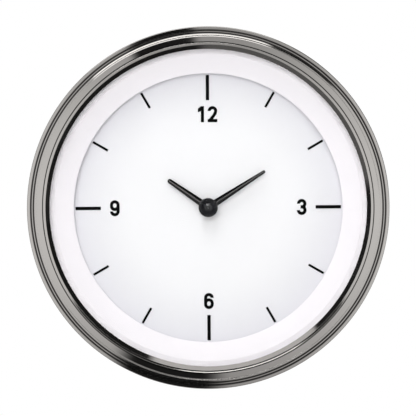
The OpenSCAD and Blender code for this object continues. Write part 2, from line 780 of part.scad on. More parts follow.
module quartz_crystal() color("silver") face()
    translate([component_gap, crystal_y, board_end_z - crystal_d / 2])
        rotate([0, 90, 0]) cylinder(d = crystal_d, h = crystal_l);

module capacitor() color("navy") face()
    translate([component_gap, 0, board_end_z - capacitor_d / 2])
        rotate([0, 90, 0]) cylinder(d = capacitor_d, h = capacitor_l);

module terminal_studs() color("goldenrod") face() at_places(terminal_at) {
    rod(terminal_root_r, terminal_neck_z, board_z);
    rod(terminal_d / 2, case_end_z - terminal_l, terminal_neck_z);
}

module terminal_insulators() color("saddlebrown") face() at_places(terminal_at) difference() {
    union() {
        rod(insulator_r, case_end_z - insulator_h, case_end_z);
        rod(insulator_neck_r, case_end_z, case_back_z + neck_proud);
    }
    rod(terminal_root_r + press_fit, case_end_z - insulator_h - 1, case_back_z + 1);
}

module terminal_nuts() color("goldenrod") face() at_places(terminal_at) difference() {
    translate([0, 0, terminal_nut_z]) cylinder(r = insulator_r, h = terminal_nut_h, $fn = 6);
    rod(terminal_root_r + press_fit, terminal_nut_z - 1, case_end_z);
}

module bracket_studs() color("silver") face() for (x = [-stud_x, stud_x]) translate([x, 0, 0])
    rod(stud_d / 2, case_end_z - stud_l, case_end_z);

module shaft_bush() color("ivory") face() translate([0, setting_y, 0]) difference() {
    union() {
        rod(knob_bush_flange_r, case_end_z - knob_bush_h, case_end_z);
        rod(knob_bush_r, case_end_z, case_back_z + neck_proud);
    }
    rod(setting_r + run_fit, case_end_z - knob_bush_h - 1, case_back_z + 1);
}

module centre_arbor() color("lightsteelblue") face() {
    rod(arbor_r, back_plate_end_z, cap_z - press_fit);
    rod(collet_r, collet_z - collet_h, collet_z);
}

module centre_wheel() color("gold") face() difference() {
    wheel(centre_n, centre_m, third_dir, centre_wheel_z, wheel_t);
    rod(arbor_r + press_fit, friction_z - 1, centre_wheel_z + 1);
    lightening(centre_m * centre_n / 2, bush_r, centre_wheel_z, wheel_t);
}

// Friction spring: a three-armed washer that lets the hands slip on the train when they are set
module friction_spring() color("darkgoldenrod") face() translate([0, 0, collet_z]) linear_extrude(friction_t)
    difference() {
        union() {
            circle(r = collet_r);
            for (k = [0:2]) rotate(120 * k) translate([0, -spring_arm_w / 2])
                square([bush_r + spring_reach, spring_arm_w]);
        }
        circle(r = arbor_r + press_fit);
    }

module cannon_pinion() color("gold") face() difference() {
    union() {
        pinion(cannon_n, motion_m, -90, cannon_z, pinion_h);
        rod(cannon_r, cannon_end_z, cap_z - pipe_back);
    }
    rod(arbor_r + press_fit, cannon_end_z - 1, cap_z + 1);
}

module minute_hand() color([0.12, 0.12, 0.14]) face() rotate(minute_turn) difference() {
    union() {
        rod(hand_boss_r, minute_boss_z, cap_z);
        translate([0, 0, minute_boss_z + blade_lift]) blade(minute_hand_l, minute_root_w, minute_tip_w);
    }
    rod(cannon_r + press_fit, minute_boss_z - 1, cap_z + 1);
}

module hand_cap() color([0.12, 0.12, 0.14]) face() rotate_extrude() polygon([
    [0, cap_z], [cap_d / 2, cap_z], [cap_d / 2, cap_z + cap_h - cap_bevel],
    [cap_d / 2 - cap_bevel, cap_z + cap_h], [0, cap_z + cap_h]]);

module hour_wheel() color("gold") face() difference() {
    union() {
        wheel(hour_n, motion_m, -90, hour_wheel_z, wheel_t);
        rod(hour_pipe_r, hour_wheel_z - wheel_t, hour_boss_z + hand_boss_h);
    }
    rod(hour_bore_r, hour_wheel_z - wheel_t - 1, cap_z);
    lightening(motion_m * hour_n / 2, hour_pipe_r, hour_wheel_z, wheel_t);
}

module hour_hand() color([0.12, 0.12, 0.14]) face() rotate(hour_turn) difference() {
    union() {
        rod(hand_boss_r, hour_boss_z, hour_boss_z + hand_boss_h);
        translate([0, 0, hour_boss_z + blade_lift]) blade(hour_hand_l, hour_root_w, hour_tip_w);
    }
    rod(hour_pipe_r + press_fit, hour_boss_z - 1, hour_boss_z + hand_boss_h + 1);
}

// Minute wheel: one moulding with the pinion that drives the hour wheel
module minute_wheel() color("ivory") face() translate([0, setting_y, 0]) difference() {
    union() {
        wheel(minute_n, motion_m, 90 + 180 / minute_n, minute_wheel_z, wheel_t);
        pinion(hour_pinion_n, motion_m, 90 + 180 / hour_pinion_n, setting_top_z, pinion_h + pinion_over);
    }
    rod(setting_r + press_fit, minute_wheel_z - wheel_t - 1, setting_top_z + 1);
}

module setting_shaft() color("lightsteelblue") face() translate([0, setting_y, 0])
    rod(setting_r, knob_z - knob_seat, setting_top_z);

module setting_knob() color([0.15, 0.15, 0.15]) face() translate([0, setting_y, 0]) difference() {
    translate([0, 0, knob_z - knob_l]) linear_extrude(knob_l) polygon(fluted(knob_d / 2));
    rod(setting_r + press_fit, knob_z - knob_seat, knob_z + 1);
}

// An arbor with a pivot in each plate
module pivoted(r) {
    rod(pivot_r, back_plate_end_z, front_plate_z);
    rod(r, back_plate_z + move_gap, front_plate_end_z - move_gap);
}

module third_arbor() color("lightsteelblue") face() translate(third_at) {
    pivoted(third_arbor_d / 2);
    pinion(third_pinion_n, centre_m, third_dir + 180 + 180 / third_pinion_n,
        centre_wheel_z + pinion_over, pinion_h);
}

module third_wheel() color("gold") face() translate(third_at) difference() {
    wheel(third_n, rotor_m, rotor_dir, third_wheel_z, wheel_t);
    rod(third_arbor_d / 2 + press_fit, third_wheel_z - wheel_t - 1, third_wheel_z + 1);
    lightening(rotor_m * third_n / 2, third_arbor_d / 2, third_wheel_z, wheel_t);
}

module rotor_arbor() color("lightsteelblue") face() translate(rotor_at) {
    pivoted(rotor_arbor_d / 2);
    pinion(rotor_n, rotor_m, rotor_dir + 180 + 180 / rotor_n, third_wheel_z + pinion_over, pinion_h);
}

module rotor_magnet() color("dimgray") face() translate(rotor_at)
    tube(magnet_d / 2, rotor_arbor_d / 2 + press_fit, magnet_z - magnet_l, magnet_z);

// Lamp holder: a push-in sleeve with a flange outside the case and a contact tail
module lamp_holder() color("lightslategray") face() translate([0, lamp_y, 0]) difference() {
    union() {
        rod(lamp_d / 2, lamp_z, lamp_front_z);
        rod(lamp_flange_r, lamp_z - lamp_flange_h, lamp_z);
        rod(lamp_tail_r, lamp_z - lamp_flange_h - lamp_tail_h, lamp_z - lamp_flange_h);
    }
    rod(bulb_d / 2 + press_fit, lamp_front_z - bulb_seat, lamp_front_z + 1);
}

module lamp_bulb() color([1, 0.95, 0.8, 0.6]) face() translate([0, lamp_y, 0]) {
    rod(bulb_d / 2, lamp_front_z - bulb_seat, lamp_front_z + bulb_l - bulb_d / 2);
    intersection() {
        translate([0, 0, lamp_front_z + bulb_l - bulb_d / 2]) sphere(d = bulb_d);
        rod(bulb_d, lamp_front_z + bulb_l - bulb_d / 2, lamp_front_z + bulb_l);
    }
}

// One bent corner of the bracket's strip, in the plane across the clock
module bracket_corner() intersection() {
    difference() {
        circle(r = bend_r + bracket_t);
        circle(r = bend_r);
    }
    translate([0, -bend_r - bracket_t]) square(bend_r + bracket_t);
}

// Clamp bracket: a strip bent into a U behind the case, with two holes for the studs
module clamp_bracket() color("lightslategray") face() difference() {
    translate([0, bracket_w / 2, 0]) rotate([90, 0, 0]) linear_extrude(bracket_w) {
        translate([-leg_r + bend_r, bridge_end_z]) square([2 * (leg_r - bend_r), bracket_t]);
        for (side = [0, 1]) mirror([side, 0]) {
            translate([leg_r, bridge_z + bend_r]) square([bracket_t, -foot_gap - bridge_z - bend_r]);
            translate([leg_r - bend_r, bridge_z + bend_r]) bracket_corner();
        }
    }
    for (x = [-stud_x, stud_x]) translate([x, 0, 0])
        rod(stud_d / 2 + hole_fit, bridge_end_z - 1, bridge_z + 1);
}

// One fluted thumb nut on its stud
module thumb_nut(x) color("goldenrod") face() translate([x, 0, 0]) difference() {
    translate([0, 0, nut_z - nut_h]) linear_extrude(nut_h) polygon(fluted(nut_d / 2));
    rod(stud_d / 2 + run_fit, nut_z - nut_h - 1, nut_z + 1);
}

module thumb_nut_left() thumb_nut(-stud_x);

module thumb_nut_right() thumb_nut(stud_x);

case_can();
case_flange();
bezel();
lens();
lens_gasket();
trim_ring();
dial();
dial_feet();
hour_marks();
numerals();
front_plate();
back_plate();
plate_pillars();
plate_screws();
centre_bushes();
case_standoffs();
case_screws();
stator();
coil_core();
coil_bobbin();
coil_winding();
stator_spacers();
stator_screws();
circuit_board();
driver_chip();
quartz_crystal();
capacitor();
terminal_studs();
terminal_insulators();
terminal_nuts();
bracket_studs();
shaft_bush();
centre_arbor();
centre_wheel();
friction_spring();
cannon_pinion();
minute_hand();
hand_cap();
hour_wheel();
hour_hand();
minute_wheel();
setting_shaft();
setting_knob();
third_arbor();
third_wheel();
rotor_arbor();
rotor_magnet();
lamp_holder();
lamp_bulb();
clamp_bracket();
thumb_nut_left();
thumb_nut_right();
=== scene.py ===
import math

import bmesh
import bpy
from mathutils import Matrix, Vector


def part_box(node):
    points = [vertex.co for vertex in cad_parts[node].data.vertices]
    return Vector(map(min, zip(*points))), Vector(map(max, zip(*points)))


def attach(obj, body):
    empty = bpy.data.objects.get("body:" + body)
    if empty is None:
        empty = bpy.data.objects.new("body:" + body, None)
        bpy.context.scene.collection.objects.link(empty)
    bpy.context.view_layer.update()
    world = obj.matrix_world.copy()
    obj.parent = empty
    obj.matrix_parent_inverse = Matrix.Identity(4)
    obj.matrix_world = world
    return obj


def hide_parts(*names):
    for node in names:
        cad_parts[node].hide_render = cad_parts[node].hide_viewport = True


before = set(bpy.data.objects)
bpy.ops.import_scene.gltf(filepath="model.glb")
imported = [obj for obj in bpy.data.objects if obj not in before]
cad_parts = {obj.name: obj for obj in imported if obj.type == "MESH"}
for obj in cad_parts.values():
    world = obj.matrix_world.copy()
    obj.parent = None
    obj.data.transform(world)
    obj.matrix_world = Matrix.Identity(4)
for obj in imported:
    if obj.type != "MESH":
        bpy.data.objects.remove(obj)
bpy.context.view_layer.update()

scene = bpy.context.scene

# Camera: square on to the dial from two metres through a long lens, so that every ring keeps nearly
# the same scale from the panel seat to the front of the rim. The picture is 416 pixels square.
PICTURE_PX = 416
RIM_RADIUS_PX = 181.15
AXIS_PX = (208.25, 207.6)
CLOCKWISE_LEAN = math.radians(0.4)
SENSOR = 36
camera_distance, camera_reach = 2.0, 10
rim_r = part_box("bezel")[1].x
metres_per_px = rim_r / RIM_RADIUS_PX
camera_data = bpy.data.cameras.new("camera")
camera_data.sensor_width = SENSOR
camera_data.lens = SENSOR * camera_distance / (PICTURE_PX * metres_per_px)
camera_data.clip_end = camera_reach
camera = bpy.data.objects.new("camera", camera_data)
camera.location = (
    (PICTURE_PX / 2 - AXIS_PX[0]) * metres_per_px,
    -camera_distance,
    (AXIS_PX[1] - PICTURE_PX / 2) * metres_per_px,
)
camera.rotation_euler = (math.radians(90), CLOCKWISE_LEAN, 0)
scene.collection.objects.link(camera)
scene.camera = camera


# Case can: a deep-drawn steel cup, zinc plated, that holds the whole movement. Its back is pierced
# for the lamp, the setting shaft and the two terminals, and its rear corner is round.
MM = 0.001
ON_AXIS = 1e-6


def face_box(node):
    """A node's box in millimetres on the clock's face: x right, y up, z towards the viewer."""
    low, high = (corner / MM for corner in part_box(node))
    return (low.x, high.x), (low.z, high.z), (-high.y, -low.y)


def on_face(x, y, z):
    """The point of the frame, in metres, for a place on the clock's face."""
    return Vector((x, -z, y)) * MM


def rounded(corners, steps=6):
    """A closed outline of (radius, depth, fillet) corners, with each filleted corner made an arc."""
    outline = []
    for i, (r, z, fillet) in enumerate(corners):
        here = Vector((r, z))
        if fillet == 0:
            outline.append(here)
            continue
        back = (Vector(corners[i - 1][:2]) - here).normalized()
        ahead = (Vector(corners[(i + 1) % len(corners)][:2]) - here).normalized()
        half = back.angle(ahead) / 2
        middle = here + (back + ahead).normalized() * fillet / math.sin(half)
        first = here + back * fillet / math.tan(half) - middle
        last = here + ahead * fillet / math.tan(half) - middle
        sweep = first.angle(last)
        for k in range(steps + 1):
            share = k / steps
            swung = first * math.sin((1 - share) * sweep) + last * math.sin(share * sweep)
            outline.append(middle + swung / math.sin(sweep))
    return outline


def turned(outline, centre=(0, 0), sides=128):
    """A solid of revolution about an axis of the clock, as a bmesh."""
    bm = bmesh.new()
    rings = []
    for r, z in outline:
        ring = []
        for k in range(1 if r < ON_AXIS else sides):
            angle = 2 * math.pi * k / sides
            x = centre[0] + r * math.sin(angle)
            y = centre[1] + r * math.cos(angle)
            ring.append(bm.verts.new(on_face(x, y, z)))
        rings.append(ring)
    for here, ahead in zip(rings, rings[1:] + rings[:1]):
        for k in range(sides):
            corners = [here[k % len(here)], here[(k + 1) % len(here)]]
            corners += [ahead[(k + 1) % len(ahead)], ahead[k % len(ahead)]]
            corners = list(dict.fromkeys(corners))
            if len(corners) > 2:
                bm.faces.new(corners)
    return bm


def copy_in(bm, part):
    """Adds one bmesh to another, and frees it."""
    mesh = bpy.data.meshes.new("part")
    part.to_mesh(mesh)
    part.free()
    bm.from_mesh(mesh)
    bpy.data.meshes.remove(mesh)


def bar_cutter(places, z_low, z_high, sides=48):
    """Round bars along the clock's axis at (x, y, radius) places, as a bmesh, for cutting holes."""
    bm = bmesh.new()
    for x, y, r in places:
        copy_in(bm, turned([(0, z_low), (r, z_low), (r, z_high), (0, z_high)], (x, y), sides))
    return bm


def plain_object(name, bm):
    """An object at the origin from a bmesh, with its faces turned outwards."""
    bmesh.ops.recalc_face_normals(bm, faces=bm.faces)
    mesh = bpy.data.meshes.new(name)
    bm.to_mesh(mesh)
    bm.free()
    made = bpy.data.objects.new(name, mesh)
    scene.collection.objects.link(made)
    return made


def bake_modifiers(made):
    """Makes an object's modifiers part of its mesh."""
    bpy.context.view_layer.update()
    graph = bpy.context.evaluated_depsgraph_get()
    mesh = bpy.data.meshes.new_from_object(made.evaluated_get(graph))
    made.modifiers.clear()
    made.data = mesh


def cut(made, bm, operation="DIFFERENCE"):
    """Cuts an object with a bmesh, or keeps only what both hold."""
    cutter = plain_object("cutter", bm)
    tool = made.modifiers.new("cut", "BOOLEAN")
    tool.operation = operation
    tool.solver = "EXACT"
    tool.object = cutter
    bake_modifiers(made)
    bpy.data.objects.remove(cutter)


def fit(made, body, slot, material, *nodes, sharp=28):
    """Finishes a piece: its shading, its material, the body it rides on and the nodes it replaces."""
    made.data.shade_smooth()
    made.data.set_sharp_from_angle(angle=math.radians(sharp))
    flat = made.modifiers.new("flat_faces", "WEIGHTED_NORMAL")
    flat.keep_sharp = True
    bake_modifiers(made)
    made.data.materials.clear()
    made.data.materials.append(material)
    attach(made, body)
    if nodes:
        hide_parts(*nodes)


def dress(material, *nodes):
    """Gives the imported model's own nodes a finish."""
    for node in nodes:
        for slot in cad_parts[node].material_slots:
            slot.material = material


def new_group(name, inputs, outputs):
    """An empty shader group with named float sockets and a vector for the place on the piece."""
    group = bpy.data.node_groups.new(name, "ShaderNodeTree")
    group.interface.new_socket("Place", in_out="INPUT", socket_type="NodeSocketVector")
    for label in inputs:
        group.interface.new_socket(label, in_out="INPUT", socket_type="NodeSocketFloat")
    for label in outputs:
        group.interface.new_socket(label, in_out="OUTPUT", socket_type="NodeSocketFloat")
    return group, group.nodes.new("NodeGroupInput"), group.nodes.new("NodeGroupOutput")


def noise_in(group, place, scale, detail):
    """A noise texture in a group, fed with a place and a scale."""
    noise = group.nodes.new("ShaderNodeTexNoise")
    noise.inputs["Detail"].default_value = detail
    group.links.new(place, noise.inputs["Vector"])
    group.links.new(scale, noise.inputs["Scale"])
    return noise.outputs[0]


# handling marks: broad soft blotches and a fine grain, for every finish
BLOTCH_DETAIL, GRAIN_DETAIL = 3, 2
BLOTCH_LOW, BLOTCH_HIGH = 0.25, 0.75
GRAIN_HEIGHT = 0.02
handling, given, out = new_group("handling", ["Blotch scale", "Grain scale"], ["Blotch", "Grain"])
blotch = noise_in(handling, given.outputs["Place"], given.outputs["Blotch scale"], BLOTCH_DETAIL)
grain = noise_in(handling, given.outputs["Place"], given.outputs["Grain scale"], GRAIN_DETAIL)
handling.links.new(blotch, out.inputs["Blotch"])
handling.links.new(grain, out.inputs["Grain"])


def finish(name, tone, dark, metallic, rough, rough_swing, blotch_mm, grain_mm, bump, specular=0.5):
    """A material whose tone, roughness and bump follow handling marks of the given sizes."""
    material = bpy.data.materials.new(name)
    material.use_nodes = True
    nodes, links = material.node_tree.nodes, material.node_tree.links
    shader = nodes["Principled BSDF"]
    shader.inputs["Metallic"].default_value = metallic
    shader.inputs["Specular IOR Level"].default_value = specular
    place = nodes.new("ShaderNodeTexCoord")
    marks = nodes.new("ShaderNodeGroup")
    marks.node_tree = handling
    marks.inputs["Blotch scale"].default_value = 1 / (blotch_mm * MM)
    marks.inputs["Grain scale"].default_value = 1 / (grain_mm * MM)
    links.new(place.outputs["Object"], marks.inputs["Place"])
    tint = nodes.new("ShaderNodeMix")
    tint.name = "tint"
    tint.data_type = "RGBA"
    tint.inputs["A"].default_value = (*dark, 1)
    tint.inputs["B"].default_value = (*tone, 1)
    links.new(marks.outputs["Blotch"], tint.inputs["Factor"])
    links.new(tint.outputs["Result"], shader.inputs["Base Color"])
    gloss = nodes.new("ShaderNodeMapRange")
    gloss.name = "gloss"
    gloss.inputs["From Min"].default_value = BLOTCH_LOW
    gloss.inputs["From Max"].default_value = BLOTCH_HIGH
    gloss.inputs["To Min"].default_value = rough - rough_swing
    gloss.inputs["To Max"].default_value = rough + rough_swing
    links.new(marks.outputs["Blotch"], gloss.inputs["Value"])
    links.new(gloss.outputs["Result"], shader.inputs["Roughness"])
    relief = nodes.new("ShaderNodeBump")
    relief.name = "relief"
    relief.inputs["Strength"].default_value = bump
    relief.inputs["Distance"].default_value = GRAIN_HEIGHT * MM
    links.new(marks.outputs["Grain"], relief.inputs["Height"])
    links.new(relief.outputs["Normal"], shader.inputs["Normal"])
    return material


zinc = finish("zinc_plate", (0.66, 0.67, 0.68), (0.57, 0.575, 0.57), 1, 0.36, 0.05, 2.5, 0.3, 0.3)
(_, barrel_r), _, (can_back, can_rim) = face_box("case_can")
sheet = 0.8
can_bend = 1.6
rim_step = 0.42
rim_in_r = barrel_r - rim_step
cut_over = 1
lamp_at, lamp_hole_r = (0, 30), 5.05
knob_at, shaft_hole_r = (0, -13.5), 2.27
terminal_spots, terminal_hole_r = ((-12, -22), (12, -22)), 3.12
holes = [(*lamp_at, lamp_hole_r), (*knob_at, shaft_hole_r)]
holes += [(*spot, terminal_hole_r) for spot in terminal_spots]
can = plain_object("drawn_can", turned(rounded([
    (0, can_back, 0), (barrel_r, can_back, can_bend), (barrel_r, 0, 0),
    (rim_in_r, 0, 0), (rim_in_r, can_rim, 0), (barrel_r - sheet, can_rim, 0),
    (barrel_r - sheet, can_back + sheet, can_bend), (0, can_back + sheet, 0)]), sides=160))
cut(can, bar_cutter(holes, can_back - cut_over, can_back + sheet + cut_over))
fit(can, "case", "zinc_steel", zinc, "case_can")
dress(zinc, "case_flange")

# Movement: turned brass and bright steel between two stamped brass plates, with a moulded bobbin of
# enamelled copper wire and a small green circuit board. It is sealed in the can, behind the dial.
brass = finish("turned_brass", (0.80, 0.60, 0.27), (0.62, 0.43, 0.17), 1, 0.28, 0.08, 4, 0.2, 0.15)
steel = finish("bright_steel", (0.70, 0.71, 0.72), (0.55, 0.555, 0.56), 1, 0.26, 0.07, 3, 0.2, 0.15)
iron = finish("soft_iron", (0.33, 0.33, 0.34), (0.22, 0.22, 0.23), 0.9, 0.5, 0.08, 3, 0.25, 0.2)
nylon = finish("natural_nylon", (0.80, 0.76, 0.64), (0.70, 0.65, 0.52), 0, 0.45, 0.06, 5, 0.3, 0.1)
copper = finish("copper_wire", (0.62, 0.25, 0.10), (0.42, 0.14, 0.05), 0.9, 0.35, 0.08, 2, 0.15, 0.4)
board = finish("solder_mask", (0.03, 0.22, 0.09), (0.02, 0.14, 0.06), 0, 0.35, 0.05, 6, 0.5, 0.1)
sleeve = finish("shrink_sleeve", (0.03, 0.06, 0.26), (0.02, 0.04, 0.18), 0, 0.3, 0.05, 4, 0.5, 0.1)
moulding = finish("black_moulding", (0.035, 0.035, 0.037), (0.02, 0.02, 0.022), 0, 0.42, 0.07, 5, 0.25, 0.2)
dress(brass, "front_plate", "back_plate", "plate_pillars", "centre_bushes", "case_standoffs", "dial_feet")
dress(brass, "stator_spacers", "centre_wheel", "friction_spring", "cannon_pinion")
dress(brass, "hour_wheel", "third_wheel")
dress(steel, "plate_screws", "stator_screws", "quartz_crystal", "centre_arbor", "setting_shaft")
dress(steel, "third_arbor", "rotor_arbor")
dress(iron, "stator", "coil_core", "rotor_magnet")
dress(nylon, "coil_bobbin", "minute_wheel", "shaft_bush")
dress(copper, "coil_winding")
dress(board, "circuit_board")
dress(sleeve, "capacitor")
dress(moulding, "driver_chip")


# Case screws: four pan-head steel screws with a cross recess, driven through the can's back into
# the movement's posts. One screw is turned and cut, and a node tree sets a copy at each post.
def new_tree(name, inputs):
    """An empty geometry tree with a Geometry input and output and the named inputs."""
    tree = bpy.data.node_groups.new(name, "GeometryNodeTree")
    tree.interface.new_socket("Geometry", in_out="INPUT", socket_type="NodeSocketGeometry")
    for label, kind in inputs:
        tree.interface.new_socket(label, in_out="INPUT", socket_type="NodeSocket" + kind)
    tree.interface.new_socket("Geometry", in_out="OUTPUT", socket_type="NodeSocketGeometry")
    return tree, tree.nodes.new("NodeGroupInput"), tree.nodes.new("NodeGroupOutput")


def step(tree, kind, feeds, **settings):
    """Adds a node to a tree, sets its choices, feeds its sockets, and returns its first output in use."""
    node = tree.nodes.new(kind)
    for label, value in settings.items():
        setattr(node, label, value)
    for label, value in feeds.items():
        if isinstance(value, bpy.types.NodeSocket):
            tree.links.new(value, node.inputs[label])
        else:
            node.inputs[label].default_value = value
    return next(socket for socket in node.outputs if socket.enabled)


def calc(tree, operation, *values):
    """A Math node on values or sockets."""
    return step(tree, "ShaderNodeMath", dict(enumerate(values)), operation=operation)


def end_tree(tree, given, out, shape):
    """Ends a tree with real geometry in one material."""
    real = step(tree, "GeometryNodeRealizeInstances", {"Geometry": shape})
    painted = step(tree, "GeometryNodeSetMaterial", {
        "Geometry": real, "Material": given.outputs["Material"]})
    tree.links.new(painted, out.inputs["Geometry"])


def run_tree(made, tree, values):
    """Runs a tree on an object, its inputs set by their identifiers, and keeps the result as its mesh."""
    maker = made.modifiers.new("maker", "NODES")
    maker.node_group = tree
    for socket in tree.interface.items_tree:
        if socket.in_out == "INPUT" and socket.name in values:
            maker[socket.identifier] = values[socket.name]
    bake_modifiers(made)


def grow(name, tree, values, places=()):
    """A new object made by a tree, from a mesh whose only vertices are the places."""
    seed = bpy.data.meshes.new(name)
    seed.from_pydata(places, [], [])
    made = bpy.data.objects.new(name, seed)
    scene.collection.objects.link(made)
    run_tree(made, tree, values)
    return made


def prism(near_points, far_points):
    """A closed solid between two loops of as many points, as a bmesh."""
    bm = bmesh.new()
    near = [bm.verts.new(point) for point in near_points]
    far = [bm.verts.new(point) for point in far_points]
    bm.faces.new(near)
    bm.faces.new(far[::-1])
    for k in range(len(near)):
        ahead = (k + 1) % len(near)
        bm.faces.new([near[ahead], near[k], far[k], far[ahead]])
    return bm


set_out, given, out = new_tree("set_out_screws", [("Screw", "Object"), ("Material", "Material")])
step(set_out, "GeometryNodeObjectInfo", {"Object": given.outputs["Screw"]})
screw_shape = set_out.nodes["Object Info"].outputs["Geometry"]
placed = step(set_out, "GeometryNodeInstanceOnPoints", {
    "Points": given.outputs["Geometry"], "Instance": screw_shape})
end_tree(set_out, given, out, placed)

screw_x, screw_y, (screw_low, screw_tip) = face_box("case_screws")
head_r, head_h, head_round, head_edge = 2.6, 1.6, 0.9, 0.1
shank_r = 1.25
recess_l, recess_w, recess_d = 2.6, 0.7, 0.8
screw = plain_object("pan_screw", turned(rounded([
    (0, screw_low, 0), (head_r, screw_low, head_round), (head_r, screw_low + head_h, head_edge),
    (shank_r, screw_low + head_h, 0), (shank_r, screw_tip, 0), (0, screw_tip, 0)]), sides=48))
arm, half_arm = recess_l / 2, recess_w / 2
plus = []
for quarter in range(4):
    swing = Matrix.Rotation(math.radians(90 * quarter), 2)
    for corner in ((arm, -half_arm), (arm, half_arm), (half_arm, half_arm)):
        plus.append(swing @ Vector(corner))
recess_floor = [on_face(*corner, screw_low + recess_d) for corner in plus]
recess_mouth = [on_face(*corner, screw_low - recess_d) for corner in plus]
cut(screw, prism(recess_mouth, recess_floor))
screw_posts = [on_face(x, y, 0) for x in (screw_x[0] + head_r, screw_x[1] - head_r)
               for y in (screw_y[0] + head_r, screw_y[1] - head_r)]
screws = grow("case_screw_set", set_out, {"Screw": screw, "Material": steel}, screw_posts)
bpy.data.objects.remove(screw)
fit(screws, "case", "bright_steel", steel, "case_screws")

# Studs: two long threaded steel studs for the clamp, welded to the can's back, and two brass
# terminal studs. The thread is a helix of crest and root rows that a node tree winds round a bar.
THREAD_SIDES = 28
ROWS_OVER = 5
WELD = 1e-6
thread, given, out = new_tree("threaded_bars", [
    ("Radius", "Float"), ("Depth", "Float"), ("Pitch", "Float"), ("Length", "Float"),
    ("Rows", "Int"), ("Material", "Material")])
radius, depth, pitch, length = (given.outputs[label] for label in ("Radius", "Depth", "Pitch", "Length"))
strip = step(thread, "GeometryNodeMeshGrid", {
    "Size X": 1, "Size Y": 1, "Vertices X": THREAD_SIDES + 1, "Vertices Y": given.outputs["Rows"]})
step(thread, "ShaderNodeSeparateXYZ", {"Vector": step(thread, "GeometryNodeInputPosition", {})})
across = thread.nodes["Separate XYZ"].outputs
turn = calc(thread, "ADD", across["X"], 0.5)
row = calc(thread, "ROUND", calc(thread, "MULTIPLY", calc(thread, "ADD", across["Y"], 0.5),
                                 calc(thread, "SUBTRACT", given.outputs["Rows"], 1)))
wound = calc(thread, "MULTIPLY", pitch, calc(thread, "ADD", calc(thread, "DIVIDE", row, 2),
                                             calc(thread, "SUBTRACT", turn, 1)))
height = calc(thread, "MINIMUM", calc(thread, "MAXIMUM", wound, 0), length)
root = calc(thread, "SUBTRACT", radius, depth)
crest = calc(thread, "ADD", root, calc(thread, "MULTIPLY", depth, calc(thread, "MODULO", row, 2)))
to_end = calc(thread, "MINIMUM", calc(thread, "SUBTRACT", length, height), height)
flank = calc(thread, "MINIMUM", crest, calc(thread, "ADD", root, to_end))
angle = calc(thread, "MULTIPLY", turn, -2 * math.pi)
spun = step(thread, "ShaderNodeCombineXYZ", {
    "X": calc(thread, "MULTIPLY", flank, calc(thread, "COSINE", angle)),
    "Y": height,
    "Z": calc(thread, "MULTIPLY", flank, calc(thread, "SINE", angle))})
coil = step(thread, "GeometryNodeSetPosition", {"Geometry": strip, "Position": spun})
ends = thread.nodes.new("GeometryNodeJoinGeometry")
thread.links.new(coil, ends.inputs[0])
disc = step(thread, "GeometryNodeMeshCircle", {"Vertices": THREAD_SIDES, "Radius": root}, fill_type="NGON")
for quarter, lift in ((90, 0.0), (-90, length)):
    shift = step(thread, "ShaderNodeCombineXYZ", {"Y": lift})
    cap = step(thread, "GeometryNodeTransform", {
        "Geometry": disc, "Translation": shift, "Rotation": (math.radians(quarter), 0, 0)})
    thread.links.new(cap, ends.inputs[0])
whole = step(thread, "GeometryNodeMergeByDistance", {"Geometry": ends.outputs[0], "Distance": WELD})
placed = step(thread, "GeometryNodeInstanceOnPoints", {
    "Points": given.outputs["Geometry"], "Instance": whole})
end_tree(thread, given, out, placed)


def threaded(name, r, z_start, z_end, places, material, pitch_mm=0.7, depth_mm=0.38):
    """Threaded bars from a depth back to another, at places on the face."""
    length_mm = z_start - z_end
    values = {
        "Radius": r * MM, "Depth": depth_mm * MM, "Pitch": pitch_mm * MM, "Length": length_mm * MM,
        "Rows": int(2 * length_mm / pitch_mm) + ROWS_OVER, "Material": material}
    return grow(name, thread, values, [on_face(x, y, z_start) for x, y in places])


stud_x, _, (stud_end, stud_root) = face_box("bracket_studs")
stud_r = 2.0
stud_at = stud_x[1] - stud_r
studs = threaded("clamp_studs", stud_r, stud_root, stud_end, [(-stud_at, 0), (stud_at, 0)], steel)
fit(studs, "case", "bright_steel", steel, "bracket_studs")

terminal_r, terminal_root_r = 2.0, 2.18
_, _, (terminal_end, terminal_root) = face_box("terminal_studs")
terminals = threaded("terminal_threads", terminal_r, terminal_root, terminal_end, terminal_spots, brass)
fit(terminals, "case", "brass", brass, "terminal_studs")

# Terminal fittings: each brass stud passes through a stepped phenolic bush, and a chamfered brass
# hexagon nut holds it. The wires of the car go under further nuts on the free threads.
phenolic = finish("phenolic", (0.24, 0.10, 0.045), (0.15, 0.06, 0.025), 0, 0.42, 0.08, 2.5, 0.2, 0.3)
_, _, (terminal_nut_z, insulator_z) = face_box("terminal_nuts")
_, _, (_, insulator_in) = face_box("terminal_insulators")
insulator_r, insulator_neck_r = 4.3, 3.1
insulator_round, insulator_edge = 0.3, 0.1
nut_r = insulator_r
nut_bevel = 0.55
bushes = bmesh.new()
nuts = bmesh.new()
nut_tops = bmesh.new()
for spot in terminal_spots:
    copy_in(bushes, turned(rounded([
        (terminal_root_r, insulator_z, insulator_edge), (insulator_r, insulator_z, insulator_round),
        (insulator_r, can_back, 0), (insulator_neck_r, can_back, 0),
        (insulator_neck_r, insulator_in, insulator_edge), (terminal_root_r, insulator_in, 0)]),
        spot, sides=64))
    hexagon = [(0, terminal_nut_z), (nut_r, terminal_nut_z), (nut_r, insulator_z), (0, insulator_z)]
    copy_in(nuts, turned(hexagon, spot, sides=6))
    copy_in(nut_tops, turned([
        (terminal_root_r, terminal_nut_z - cut_over),
        (nut_r - nut_bevel - cut_over, terminal_nut_z - cut_over),
        (nut_r - nut_bevel, terminal_nut_z),
        (nut_r + nut_bevel, terminal_nut_z + 2 * nut_bevel),
        (nut_r + nut_bevel, insulator_z + cut_over),
        (terminal_root_r, insulator_z + cut_over)], spot, sides=64))
hex_nuts = plain_object("terminal_hex_nuts", nuts)
